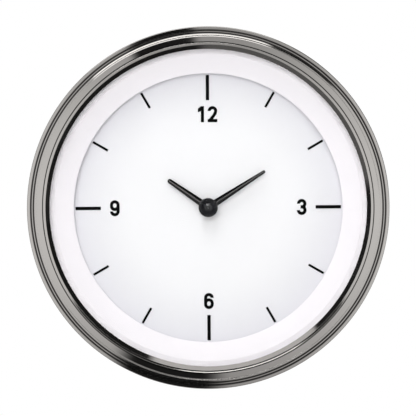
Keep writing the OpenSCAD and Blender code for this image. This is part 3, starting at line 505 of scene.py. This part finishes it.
cut(hex_nuts, nut_tops, "INTERSECT")
fit(hex_nuts, "case", "brass", brass, "terminal_nuts")
fit(plain_object("terminal_bushes", bushes), "case", "brown_phenolic", phenolic, "terminal_insulators")

# Setting knob: a black moulded knob, fluted for the fingers, pressed on the shaft that sets the hands.
# Its rear end is domed a little, with a shallow round recess from the mould.
(knob_left, knob_right), _, (knob_end, knob_front) = face_box("setting_knob")
knob_r = (knob_right - knob_left) / 2
knob_bore_r, knob_bore_end = 1.02, 3
knob_bevel, dome_w, dome_h = 0.7, 1.2, 0.9
sink_in, sink_slope, sink_edge = 2.4, 0.4, 0.15
KNOB_FLUTES, SIDES_A_FLUTE = 24, 8
flute_depth = 0.42
AXIS_GUARD = 1e-6

fluting, given, out = new_tree("round_flutes", [
    ("Axis", "Vector"), ("Flutes", "Int"), ("Depth", "Float"), ("Full radius", "Float"),
    ("Plain radius", "Float"), ("Material", "Material")])
place = step(fluting, "GeometryNodeInputPosition", {})
from_axis = step(fluting, "ShaderNodeVectorMath", {
    0: place, 1: given.outputs["Axis"]}, operation="SUBTRACT")
step(fluting, "ShaderNodeSeparateXYZ", {"Vector": from_axis})
across = fluting.nodes["Separate XYZ"].outputs
out_r = calc(fluting, "SQRT", calc(fluting, "MULTIPLY_ADD", across["X"], across["X"],
                                   calc(fluting, "MULTIPLY", across["Z"], across["Z"])))
out_r = calc(fluting, "MAXIMUM", out_r, AXIS_GUARD)
bearing = calc(fluting, "ARCTAN2", across["X"], across["Z"])
wave = calc(fluting, "COSINE", calc(fluting, "MULTIPLY", bearing, given.outputs["Flutes"]))
share = step(fluting, "ShaderNodeMapRange", {
    "Value": out_r, "From Min": given.outputs["Plain radius"], "From Max": given.outputs["Full radius"]})
half_depth = calc(fluting, "DIVIDE", given.outputs["Depth"], 2)
dip = calc(fluting, "MULTIPLY", calc(fluting, "MULTIPLY", share, half_depth),
           calc(fluting, "SUBTRACT", 1.0, wave))
inward = calc(fluting, "DIVIDE", calc(fluting, "MULTIPLY", dip, -1.0), out_r)
moved = step(fluting, "ShaderNodeCombineXYZ", {
    "X": calc(fluting, "MULTIPLY", across["X"], inward),
    "Z": calc(fluting, "MULTIPLY", across["Z"], inward)})
cut_flutes = step(fluting, "GeometryNodeSetPosition", {
    "Geometry": given.outputs["Geometry"], "Offset": moved})
end_tree(fluting, given, out, cut_flutes)

sink_r = knob_r - sink_in
knob = plain_object("fluted_knob", turned(rounded([
    (knob_bore_r, knob_front, 0), (knob_r - knob_bevel, knob_front, 0.2),
    (knob_r, knob_front - knob_bevel, 0.3), (knob_r, knob_end + dome_h, 0.4),
    (knob_r - dome_w, knob_end, 0.5), (sink_r, knob_end, sink_edge),
    (sink_r - sink_slope, knob_end + sink_slope, sink_edge), (0, knob_end + sink_slope, 0),
    (0, knob_end + knob_bore_end, 0), (knob_bore_r, knob_end + knob_bore_end, 0)]),
    knob_at, KNOB_FLUTES * SIDES_A_FLUTE))
run_tree(knob, fluting, {
    "Axis": on_face(*knob_at, 0), "Flutes": KNOB_FLUTES, "Depth": flute_depth * MM,
    "Full radius": knob_r * MM, "Plain radius": (knob_r - dome_w) * MM, "Material": moulding})
fit(knob, "setting_arbor", "black_plastic", moulding, "setting_knob", sharp=40)

# Lamp: a plated push-in holder with a small glass bulb at its inner end. Its flange stays outside the
# can, and its tail takes the lead of the dial light.
_, _, (lamp_tail, lamp_front) = face_box("lamp_holder")
lamp_sleeve_r, lamp_flange_r, lamp_tail_r = 5.0, 6.5, 3.5
lamp_tail_h, lamp_flange_h, bulb_seat = 5.0, 1.2, 3.0
bulb_bore_r = 3.22
bulb_clear = 0.85
flange_low = lamp_tail + lamp_tail_h
flange_top = flange_low + lamp_flange_h
seat_z = lamp_front - bulb_seat
holder = plain_object("lamp_sleeve", turned(rounded([
    (0, lamp_tail, 0), (lamp_tail_r, lamp_tail, 0.5), (lamp_tail_r, flange_low, 0.25),
    (lamp_flange_r, flange_low, 0.3), (lamp_flange_r, flange_top, 0.2), (lamp_sleeve_r, flange_top, 0),
    (lamp_sleeve_r, lamp_front, 0.3), (bulb_bore_r, lamp_front, 0.2), (bulb_bore_r, seat_z, 0),
    (0, seat_z, 0)]), lamp_at, sides=72))
fit(holder, "lamp", "zinc_steel", zinc, "lamp_holder")
bulb_glass = finish("bulb_glass", (0.98, 0.95, 0.88), (0.94, 0.90, 0.82), 0, 0.04, 0.02, 5, 1, 0.02)
bulb_glass.node_tree.nodes["Principled BSDF"].inputs["Transmission Weight"].default_value = bulb_clear
dress(bulb_glass, "lamp_bulb")

# Dial: a flat steel disc sprayed satin white, with a faint texture of the paint and a painted shade that
# greys it towards the edge, under the ring's lip. The marks and numerals are printed on it in a thin film
# of black ink.
paint = finish("dial_paint", (0.86, 0.857, 0.87), (0.83, 0.827, 0.84), 0, 0.5, 0.05, 14, 0.22, 0.1, 0.15)
ink = finish("dial_ink", (0.003, 0.003, 0.003), (0.002, 0.002, 0.002), 0, 0.6, 0.06, 1.5, 0.1, 0.1, 0.05)
edge_shade_tone = (0.735, 0.73, 0.765)
shade_from, shade_to = 17, 35


def place_on(material):
    """The socket of a finish that gives the place on the piece."""
    return material.node_tree.nodes["Texture Coordinate"].outputs["Object"]


def ramp(tree, value, low_mm, high_mm, start=0.0):
    """A soft rise from the start value at one length to 1 at another."""
    return step(tree, "ShaderNodeMapRange", {
        "Value": value, "From Min": low_mm * MM, "From Max": high_mm * MM, "To Min": start},
        interpolation_type="SMOOTHSTEP")


def stain(material, share, colour):
    """Mixes another colour into a finish, by a share that changes over the surface."""
    tree = material.node_tree
    mixed = step(tree, "ShaderNodeMix", {
        "Factor": share, "A": tree.nodes["tint"].outputs["Result"], "B": (*colour, 1)}, data_type="RGBA")
    tree.links.new(mixed, tree.nodes["Principled BSDF"].inputs["Base Color"])


# painted shade: the dial greys from the middle out to its edge, where the ring's lip shades it
from_centre = step(paint.node_tree, "ShaderNodeVectorMath", {0: place_on(paint)}, operation="LENGTH")
stain(paint, ramp(paint.node_tree, from_centre, shade_from, shade_to), edge_shade_tone)
dress(paint, "dial")
dress(ink, "numerals")

marks_tree, given, out = new_tree("printed_marks", [
    ("Count", "Int"), ("Skip", "Int"), ("Outer radius", "Float"), ("Mark length", "Float"),
    ("Mark width", "Float"), ("Corner", "Float"), ("Ink", "Float"), ("Front", "Float"),
    ("Material", "Material")])
outline = step(marks_tree, "GeometryNodeCurvePrimitiveQuadrilateral", {
    "Width": given.outputs["Mark width"], "Height": given.outputs["Mark length"]})
outline = step(marks_tree, "GeometryNodeFilletCurve", {
    "Curve": outline, "Count": 4, "Radius": given.outputs["Corner"]}, mode="POLY")
film = step(marks_tree, "GeometryNodeFillCurve", {"Curve": outline}, mode="NGONS")
raised = step(marks_tree, "GeometryNodeExtrudeMesh", {
    "Mesh": film, "Offset Scale": given.outputs["Ink"], "Individual": False})
under = step(marks_tree, "GeometryNodeFlipFaces", {"Mesh": film})
both_faces = marks_tree.nodes.new("GeometryNodeJoinGeometry")
marks_tree.links.new(raised, both_faces.inputs[0])
marks_tree.links.new(under, both_faces.inputs[0])
mark = step(marks_tree, "GeometryNodeMergeByDistance", {
    "Geometry": both_faces.outputs[0], "Distance": WELD / 10})
mark = step(marks_tree, "GeometryNodeTransform", {"Geometry": mark, "Rotation": (math.radians(90), 0, 0)})
order = calc(marks_tree, "ADD", step(marks_tree, "GeometryNodeInputIndex", {}), 1)
spacing = calc(marks_tree, "DIVIDE", 2 * math.pi, given.outputs["Count"])
bearing = calc(marks_tree, "MULTIPLY", order, spacing)
middle_r = calc(marks_tree, "SUBTRACT", given.outputs["Outer radius"],
                calc(marks_tree, "DIVIDE", given.outputs["Mark length"], 2))
spot = step(marks_tree, "ShaderNodeCombineXYZ", {
    "X": calc(marks_tree, "MULTIPLY", middle_r, calc(marks_tree, "SINE", bearing)),
    "Y": given.outputs["Front"],
    "Z": calc(marks_tree, "MULTIPLY", middle_r, calc(marks_tree, "COSINE", bearing))})
spots = step(marks_tree, "GeometryNodePoints", {"Count": given.outputs["Count"], "Position": spot})
kept = calc(marks_tree, "MODULO", order, given.outputs["Skip"])
swing = step(marks_tree, "ShaderNodeCombineXYZ", {"Y": bearing})
placed = step(marks_tree, "GeometryNodeInstanceOnPoints", {
    "Points": spots, "Selection": kept, "Instance": mark, "Rotation": swing})
end_tree(marks_tree, given, out, placed)

_, (_, mark_end), (dial_front, ink_front) = face_box("hour_marks")
mark_corner = 0.06
mark_values = {
    "Outer radius": mark_end * MM, "Corner": mark_corner * MM, "Front": -dial_front * MM,
    "Ink": (ink_front - dial_front) * MM, "Material": ink}
# long marks, then short ones: number of places, every which one stays empty, length and width
MARK_SETS = ((4, 5, 6.0, 0.8), (12, 3, 4.1, 0.57))
print_bm = bmesh.new()
for count, skip, mark_l, mark_w in MARK_SETS:
    some = grow("marks", marks_tree, dict(mark_values, **{
        "Count": count, "Skip": skip, "Mark length": mark_l * MM, "Mark width": mark_w * MM}))
    print_bm.from_mesh(some.data)
    bpy.data.objects.remove(some)
fit(plain_object("printed_marks", print_bm), "case", "black_ink", ink, "hour_marks")

# Hands: two stamped blades with a pressed lengthwise ridge, lacquered black, each on a turned boss.
# The minute hand lies in front of the hour hand, and a painted highlight lightens the lacquer along each
# ridge.
lacquer = finish("black_lacquer", (0.0022, 0.0022, 0.0026), (0.0014, 0.0014, 0.0018),
                 0, 0.12, 0.03, 4, 0.12, 0.06, 0.7)
# painted highlight: the lacquer is lighter along each ridge, by a vertex attribute that the blades carry
ridge_highlight_tone = (0.16, 0.15, 0.148)
ridge_highlight = lacquer.node_tree.nodes.new("ShaderNodeAttribute")
ridge_highlight.attribute_name = "ridge_highlight"
stain(lacquer, ridge_highlight.outputs["Fac"], ridge_highlight_tone)
SHOWN_HOUR, SHOWN_MINUTES = 10, 9.6
hand_boss_r = 2.07
blade_lift, blade_t, ridge_h = 0.2, 0.25, 0.22
ridge_soft, edge_soft, highlight_share = 0.1, 0.06, 0.3
BLADE_STEPS, TIP_STEPS, ROOF_STEPS = 8, 9, 7
TIP_SWEEP = math.radians(84)


def blade(length_mm, root_w, tip_w, z_low, highlight_level):
    """A hand's tapered blade with a soft roof ridge and a round tip, pointing up, as a bmesh."""
    bm = bmesh.new()
    highlight_layer = bm.verts.layers.float.new("ridge_highlight")
    tip_y = length_mm - tip_w / 2
    taper = [(tip_y * k / BLADE_STEPS, (root_w + (tip_w - root_w) * k / BLADE_STEPS) / 2)
             for k in range(BLADE_STEPS + 1)]
    for k in range(1, TIP_STEPS + 1):
        angle = TIP_SWEEP * k / TIP_STEPS
        taper.append((tip_y + tip_w / 2 * math.sin(angle), tip_w / 2 * math.cos(angle)))
    loops = []
    for y, half_w in taper:
        roof_w = max(half_w - edge_soft, half_w / 2)
        roof = []
        for j in range(-ROOF_STEPS, ROOF_STEPS + 1):
            x = -roof_w * j / ROOF_STEPS
            off = math.hypot(x, ridge_soft) - ridge_soft
            roof.append((x, z_low + blade_t + ridge_h * (1 - off / (root_w / 2))))
        wall_z = roof[0][1] - edge_soft
        walls = [(-half_w, z_low), (half_w, z_low), (half_w, wall_z)]
        section = walls + roof + [(-half_w, wall_z)]
        loop = [bm.verts.new(on_face(x, y, z)) for x, z in section]
        # painted highlight: strongest on the ridge line, fading across the roof and round the tip
        for spot, (x, _) in zip(loop[len(walls):-1], roof):
            ridge_near = max(0, 1 - abs(x) / (highlight_share * half_w))
            spot[highlight_layer] = highlight_level * ridge_near * min(1, half_w / (tip_w / 2))
        loops.append(loop)
    bm.faces.new(loops[0])
    bm.faces.new(loops[-1])
    for here, ahead in zip(loops, loops[1:]):
        for k in range(len(here)):
            after = (k + 1) % len(here)
            bm.faces.new([here[k], here[after], ahead[after], ahead[k]])
    return bm


def hand(name, node, body, degrees, length_mm, root_w, tip_w, bore_r, highlight_level):
    """One hand: its blade and boss, turned to the time it shows."""
    _, _, (boss_low, boss_top) = face_box(node)
    bm = blade(length_mm, root_w, tip_w, boss_low + blade_lift, highlight_level)
    copy_in(bm, turned(rounded([
        (bore_r, boss_low, 0), (hand_boss_r, boss_low, 0.08),
        (hand_boss_r, boss_top, 0.15), (bore_r, boss_top, 0)]), sides=64))
    bmesh.ops.rotate(bm, verts=bm.verts, matrix=Matrix.Rotation(math.radians(degrees), 3, "Y"))
    fit(plain_object(name, bm), body, "black_lacquer", lacquer, node)


hand("hour_blade", "hour_hand", "hour_pipe", 30 * SHOWN_HOUR + SHOWN_MINUTES / 2,
     length_mm=11.57, root_w=1.75, tip_w=1.1, bore_r=1.5, highlight_level=0.9)
hand("minute_blade", "minute_hand", "minute_arbor", 6 * SHOWN_MINUTES,
     length_mm=15.97, root_w=1.8, tip_w=0.75, bore_r=0.99, highlight_level=0.4)

# Hub cap: a small turned cap, lacquered like the hands and pressed on the end of the arbor.
# It has a bevelled rim, a shallow dish, and a dimpled pip where it was centred for turning.
(cap_left, cap_right), _, (cap_low, cap_top) = face_box("hand_cap")
cap_r = (cap_right - cap_left) / 2
cap_bevel, dish_slope, dish_d = 0.24, 0.1, 0.09
pip_r = 0.95
cap_rim_r = cap_r - cap_bevel
dish_z = cap_top - dish_d
cap = plain_object("hub_cap", turned(rounded([
    (0, cap_low, 0), (cap_r, cap_low, 0.05), (cap_r, cap_top - cap_bevel, 0.06), (cap_rim_r, cap_top, 0.05),
    (cap_rim_r - dish_slope, dish_z, 0.03), (pip_r, dish_z, 0.2), (pip_r / 4, cap_top, 0.1),
    (pip_r / 6, dish_z, 0.03), (0, dish_z, 0)]), sides=96))
cap_lacquer = finish("cap_lacquer", (0.008, 0.008, 0.010), (0.005, 0.005, 0.007),
                     0, 0.15, 0.04, 2, 0.12, 0.06, 1)
fit(cap, "minute_arbor", "black_lacquer", cap_lacquer, "hand_cap", sharp=40)

# Trim ring: a white moulded funnel between the glass and the dial. It stands on the can's rim,
# its skirt holds the dial down, and its inner edge is a thin square lip.
white = finish("white_moulding", (0.895, 0.865, 0.895), (0.88, 0.85, 0.88),
               0, 0.42, 0.04, 20, 0.25, 0.05, 0.15)
(_, ring_r), _, (ring_low, ring_top) = face_box("trim_ring")
land_r, window_r, cone_front, lip_h = 36.2, 31.75, 1.9, 0.4
skirt_r, ring_wall, ring_foot = 33.05, 0.8, 1.5
can_in_r = barrel_r - sheet
lip_z, ring_under = cone_front - lip_h, ring_top - ring_wall
ring = plain_object("funnel_ring", turned(rounded([
    (ring_r, ring_foot, 0.1), (ring_r, ring_top, 0.1), (land_r, ring_top, 0.5),
    (window_r, cone_front, 0.12), (window_r, lip_z, 0.08), (skirt_r, lip_z, 0), (skirt_r, ring_low, 0),
    (skirt_r + ring_wall, ring_low, 0), (skirt_r + ring_wall, lip_z, 0.1), (land_r, ring_under, 0.3),
    (can_in_r, ring_under, 0), (can_in_r, ring_foot, 0)]), sides=192))
fit(ring, "case", "white_plastic", white, "trim_ring")

# Glass and gasket: a flat clear disc, held against a black rubber ring under the bezel.
# The glass lets lamp light and the mirror light of the hands straight through, and bends the rest.
rubber = finish("black_rubber", (0.03, 0.03, 0.03), (0.018, 0.018, 0.018), 0, 0.7, 0.08, 3, 0.2, 0.2)
dress(rubber, "lens_gasket")
glass = finish("clear_glass", (0.985, 0.99, 0.99), (0.98, 0.985, 0.985), 0, 0, 0, 12, 2, 0)
GLASS_IOR = 1.5
glass_tree = glass.node_tree
for unused in ("gloss", "relief"):
    glass_tree.nodes.remove(glass_tree.nodes[unused])
glass_shader = glass_tree.nodes["Principled BSDF"]
glass_shader.inputs["Transmission Weight"].default_value = 1
glass_shader.inputs["IOR"].default_value = GLASS_IOR
glass_shader.inputs["Roughness"].default_value = 0
clear = step(glass_tree, "ShaderNodeBsdfTransparent", {})
path = glass_tree.nodes.new("ShaderNodeLightPath").outputs
soft_light = calc(glass_tree, "MAXIMUM", path["Is Shadow Ray"], path["Is Diffuse Ray"])
mirrored = calc(glass_tree, "SUBTRACT", path["Is Glossy Ray"], path["Is Transmission Ray"])
straight = calc(glass_tree, "MAXIMUM", soft_light, mirrored)
passing = step(glass_tree, "ShaderNodeMixShader", {
    "Fac": straight, 1: glass_shader.outputs["BSDF"], 2: clear})
glass_tree.links.new(passing, glass_tree.nodes["Material Output"].inputs["Surface"])
dress(glass, "lens")

# Bezel: one stainless strip spun into a stepped ring, polished, and crimped behind the can's flange.
# Two treads climb to a bead and a broad band, and inside its crown a throat drops to the glass.
polish = finish("polished_steel", (0.80, 0.77, 0.74), (0.76, 0.73, 0.70), 1, 0.07, 0.03, 8, 0.4, 0.03)
_, (_, bezel_r), (_, crown) = face_box("bezel")
lip_r = 40.2
strip_t = 0.7
tread_1_r, tread_2_r, bead_r, valley_r, band_r = 41.9, 41.2, 40.72, 40.55, 40.38
edge_r, throat_r, sight_r = 38.9, 38.4, 37.4
skirt_h, tread_rise, riser_h, under = 2.4, 0.35, 2.15, 6.0
riser_2_h, bead_h, valley_h, band_h = 0.05, 0.34, 0.27, 0.4
crown_fall, throat_drop = 0.12, 1.02
step_1_z = skirt_h + riser_h
shoulder = under + strip_t
inner_1_r, inner_2_r, inner_skirt_r = tread_1_r - strip_t, tread_2_r - strip_t, bezel_r - strip_t
bezel = plain_object("spun_bezel", turned(rounded([
    (lip_r, 0, 0.1), (bezel_r, 0, 0.35), (bezel_r, skirt_h, 0.3),
    (tread_1_r, skirt_h + tread_rise, 0.06), (tread_1_r, step_1_z, 0.12),
    (tread_2_r, step_1_z + tread_rise, 0.06), (tread_2_r, shoulder + riser_2_h, 0.12),
    (bead_r, shoulder + bead_h, 0.07), (valley_r, shoulder + valley_h, 0.07),
    (band_r, shoulder + band_h, 0.07), (edge_r, crown, 0.12),
    (throat_r, crown - crown_fall, 0.12), (sight_r, crown - throat_drop, 0.08),
    (sight_r, under, 0.05), (inner_2_r, under, 0), (inner_2_r, step_1_z - tread_rise, 0),
    (inner_1_r, step_1_z - 2 * tread_rise, 0), (inner_1_r, skirt_h - tread_rise, 0),
    (inner_skirt_r, skirt_h - 2 * tread_rise, 0), (inner_skirt_r, strip_t, 0),
    (lip_r, strip_t, 0)]), sides=256))
# painted shade in the corner at the foot of each riser, and in the fine line below the crown
SHADE_LINES = ((tread_1_r, 0.14), (tread_2_r + 0.05, 0.13), (edge_r + 0.16, 0.07))
shade_line_tone, shade_line_clear, shade_line_fade = (0.03, 0.028, 0.026), 0.03, 2.4
polish_tree = polish.node_tree
step(polish_tree, "ShaderNodeSeparateXYZ", {"Vector": place_on(polish)})
split = polish_tree.nodes["Separate XYZ"].outputs
flat_place = step(polish_tree, "ShaderNodeCombineXYZ", {"X": split["X"], "Z": split["Z"]})
off_axis = step(polish_tree, "ShaderNodeVectorMath", {0: flat_place}, operation="LENGTH")
unshaded = 1.0
for corner_r, half_w in SHADE_LINES:
    distance = calc(polish_tree, "ABSOLUTE", calc(polish_tree, "SUBTRACT", off_axis, corner_r * MM))
    bright = ramp(polish_tree, distance, half_w, half_w * shade_line_fade, shade_line_clear)
    unshaded = calc(polish_tree, "MULTIPLY", unshaded, bright)
stain(polish, calc(polish_tree, "SUBTRACT", 1.0, unshaded), shade_line_tone)
fit(bezel, "case", "polished_bezel", polish, "bezel", sharp=35)

# Clamp bracket: a zinc-plated steel strip bent into a U behind the can. Its feet press on the rear of
# the panel when the two thumb nuts are screwed up its studs.
(leg_left, leg_right), (strip_low, strip_high), (bridge_back, foot) = face_box("clamp_bracket")
strip_gauge = 1.6
bend_in = 2.5
bend_out = bend_in + strip_gauge
stud_hole_r = 2.25
edge_ease, edge_angle = 0.2, math.radians(50)
leg_in = leg_right - strip_gauge
bridge_front = bridge_back + strip_gauge
profile = rounded([
    (leg_left, foot, 0), (leg_left, bridge_back, bend_out), (leg_right, bridge_back, bend_out),
    (leg_right, foot, 0), (leg_in, foot, 0), (leg_in, bridge_front, bend_in),
    (-leg_in, bridge_front, bend_in), (-leg_in, foot, 0)], steps=10)
strap_low = [on_face(x, strip_low, z) for x, z in profile]
strap_high = [on_face(x, strip_high, z) for x, z in profile]
bracket = plain_object("clamp_strap", prism(strap_low, strap_high))
stud_holes = [(-stud_at, 0, stud_hole_r), (stud_at, 0, stud_hole_r)]
cut(bracket, bar_cutter(stud_holes, bridge_back - cut_over, bridge_front + cut_over))
eased = bracket.modifiers.new("edges", "BEVEL")
eased.width = edge_ease * MM
eased.segments = 2
eased.limit_method = "ANGLE"
eased.angle_limit = edge_angle
bake_modifiers(bracket)
fit(bracket, "bracket", "zinc_steel", zinc, "clamp_bracket")

# Thumb nuts: turned brass nuts with a straight knurl and chamfered ends, one on each stud.
# They bear on the bracket's bridge and are turned by hand.
NUT_KNURLS, SIDES_A_KNURL = 40, 6
knurl_depth = 0.35
thumb_r, thumb_bevel = 5.5, 0.6
thumb_bore_r, thumb_lead = 2.05, 0.5
for side, node, body in ((-1, "thumb_nut_left", "nut_left"), (1, "thumb_nut_right", "nut_right")):
    _, _, (nut_end, nut_front) = face_box(node)
    end_r = thumb_r - thumb_bevel
    nut = plain_object(node.replace("thumb_nut", "knurled_nut"), turned(rounded([
        (thumb_bore_r, nut_front, 0), (end_r, nut_front, 0.1), (thumb_r, nut_front - thumb_bevel, 0.15),
        (thumb_r, nut_end + thumb_bevel, 0.15), (end_r, nut_end, 0.1),
        (thumb_bore_r + thumb_lead, nut_end, 0.05), (thumb_bore_r, nut_end + thumb_lead, 0)], steps=3),
        (side * stud_at, 0), NUT_KNURLS * SIDES_A_KNURL))
    run_tree(nut, fluting, {
        "Axis": on_face(side * stud_at, 0, 0), "Flutes": NUT_KNURLS, "Depth": knurl_depth * MM,
        "Full radius": thumb_r * MM, "Plain radius": end_r * MM, "Material": brass})
    fit(nut, body, "brass", brass, node, sharp=30)

# Stage: a pale floor below, a white surround, a soft key lamp high on the left, one above and a rear fill.
# White, grey and black cards stand all round, as in a studio, for the polished metal to show.
FLOOR_DROP, FLOOR_R = 0.075, 0.85
floor_mesh = bmesh.new()
bmesh.ops.create_circle(floor_mesh, cap_ends=True, segments=64, radius=FLOOR_R,
                        matrix=Matrix.Translation((0, 0, -FLOOR_DROP)))
floor = plain_object("floor", floor_mesh)
floor_paint = finish("floor_paint", (0.86, 0.86, 0.86), (0.84, 0.84, 0.84), 0, 0.8, 0.05, 200, 10, 0.0)
floor.data.materials.append(floor_paint)
floor.visible_glossy = False

AMBIENT = 0.42
world = bpy.data.worlds.new("surround")
scene.world = world
world.use_nodes = True
sky = world.node_tree
sky_path = sky.nodes.new("ShaderNodeLightPath").outputs
seen = calc(sky, "MAXIMUM", sky_path["Is Camera Ray"], sky_path["Is Glossy Ray"])
seen = calc(sky, "MAXIMUM", seen, sky_path["Is Transmission Ray"])
level = step(sky, "ShaderNodeMapRange", {"Value": seen, "To Min": AMBIENT, "To Max": 1})
sky.nodes["Background"].inputs["Color"].default_value = (1, 1, 1, 1)
sky.links.new(level, sky.nodes["Background"].inputs["Strength"])


def bearing_to(turn_deg, tilt_deg):
    """The direction from the clock to a place round it: clockwise from the top, and off its axis."""
    turn_at, tilt = math.radians(turn_deg), math.radians(tilt_deg)
    return Vector((math.sin(tilt) * math.sin(turn_at), -math.cos(tilt), math.sin(tilt) * math.cos(turn_at)))


# soft lamps that nothing mirrors: turn from the top, tilt off the axis, distance and size in m, watts
LAMPS = {
    "key": (338, 13, 1.0, 0.5, 5.5),
    "overhead": (350, 55, 1.0, 0.4, 2.8),
    "rear_fill": (0, 140, 1.2, 0.6, 6),
}
for lamp_name, (turn_deg, tilt_deg, away, size, power) in LAMPS.items():
    light = bpy.data.lights.new(lamp_name, "AREA")
    light.size = size
    light.energy = power
    soft_box = bpy.data.objects.new(lamp_name, light)
    soft_box.location = bearing_to(turn_deg, tilt_deg) * away
    soft_box.rotation_euler = bearing_to(turn_deg, tilt_deg).to_track_quat("Z", "Y").to_euler()
    soft_box.visible_glossy = False
    soft_box.visible_transmission = False
    scene.collection.objects.link(soft_box)


def ease(value, low, high):
    """Rises smoothly from 0 at low to 1 at high."""
    share = max(0.0, min(1.0, (value - low) / (high - low)))
    return share * share * (3 - 2 * share)


# each card: middle and half spread clockwise from the top, nearest and farthest tilt, soft edge, level
ALL_ROUND, BLACK = 400, 0.01
CARDS = {
    "side_flags": (0, ALL_ROUND, 78, 125, 3, BLACK),
    "side_strip": (0, ALL_ROUND, 88.5, 100, 1, 0.5),
    "rear_white": (0, ALL_ROUND, 128, 160, 1, 1.0),
    "edge_flag": (56, 28, 74, 160, 3, BLACK),
    "bead_flag": (32, 14, 57, 68, 2, BLACK),
    "throat_glow": (220, 42, 79, 90, 3, 0.1),
    "hand_flag": (0, 55, 20, 36, 2, BLACK),
    "key_card": (348, 22, 9, 21, 2, 3.5),
    "low_flag": (194, 17, 34, 72, 5, 0.012),
    "high_flag": (345, 11, 36, 57, 2, BLACK),
    "top_strip": (350, 31, 60, 79, 1, 1.3),
    "throat_strip": (350, 31, 79, 100, 1, 0.5),
}
TENT_SIDE, TENT_END = 0.64, 0.33


def dome_level(turn_deg, tilt_deg):
    """How bright the studio is in one direction, as the polished metal sees it."""
    sideways = math.sin(math.radians(turn_deg)) ** 2
    level_here = TENT_END + (TENT_SIDE - TENT_END) * sideways
    for middle, half, low, high, soft, card_level in CARDS.values():
        off = abs((turn_deg - middle + 180) % 360 - 180)
        cover = 1 - ease(off, half - soft, half + soft)
        cover *= ease(tilt_deg, low - soft, low + soft) * (1 - ease(tilt_deg, high - soft, high + soft))
        level_here += (card_level - level_here) * cover
    return level_here


DOME_AWAY, DOME_COLUMNS = 1.1, 240


def dome(name, tilt_low, tilt_high, level_at):
    """A part of a sphere round the clock, painted with light that only reflections show."""
    bm = bmesh.new()
    glow_layer = bm.verts.layers.float.new("glow")
    rows = max(2, int(tilt_high - tilt_low))
    grid = []
    for i in range(DOME_COLUMNS):
        turn_at = 360 * i / DOME_COLUMNS
        line = []
        for j in range(rows + 1):
            tilt_at = tilt_low + (tilt_high - tilt_low) * j / rows
            spot = bm.verts.new(bearing_to(turn_at, tilt_at) * DOME_AWAY)
            spot[glow_layer] = level_at(turn_at, tilt_at)
            line.append(spot)
        grid.append(line)
    for i in range(DOME_COLUMNS):
        for j in range(rows):
            ahead = (i + 1) % DOME_COLUMNS
            bm.faces.new([grid[i][j], grid[ahead][j], grid[ahead][j + 1], grid[i][j + 1]])
    made = plain_object(name, bm)
    made.visible_camera = False
    made.visible_diffuse = False
    made.visible_shadow = False
    material = bpy.data.materials.new(name)
    material.use_nodes = True
    nodes, links = material.node_tree.nodes, material.node_tree.links
    nodes.remove(nodes["Principled BSDF"])
    painted = nodes.new("ShaderNodeAttribute")
    painted.attribute_name = "glow"
    glow = nodes.new("ShaderNodeEmission")
    links.new(painted.outputs["Fac"], glow.inputs["Color"])
    links.new(glow.outputs["Emission"], nodes["Material Output"].inputs["Surface"])
    made.data.materials.append(material)


LENS_TILT, DOME_TILT, TIP_TILT = 4.5, 150, 0.01
dome("studio_dome", LENS_TILT, DOME_TILT, dome_level)
dome("lens_flag", TIP_TILT, LENS_TILT, lambda turn_deg, tilt_deg: BLACK)

scene.view_settings.view_transform = "Standard"
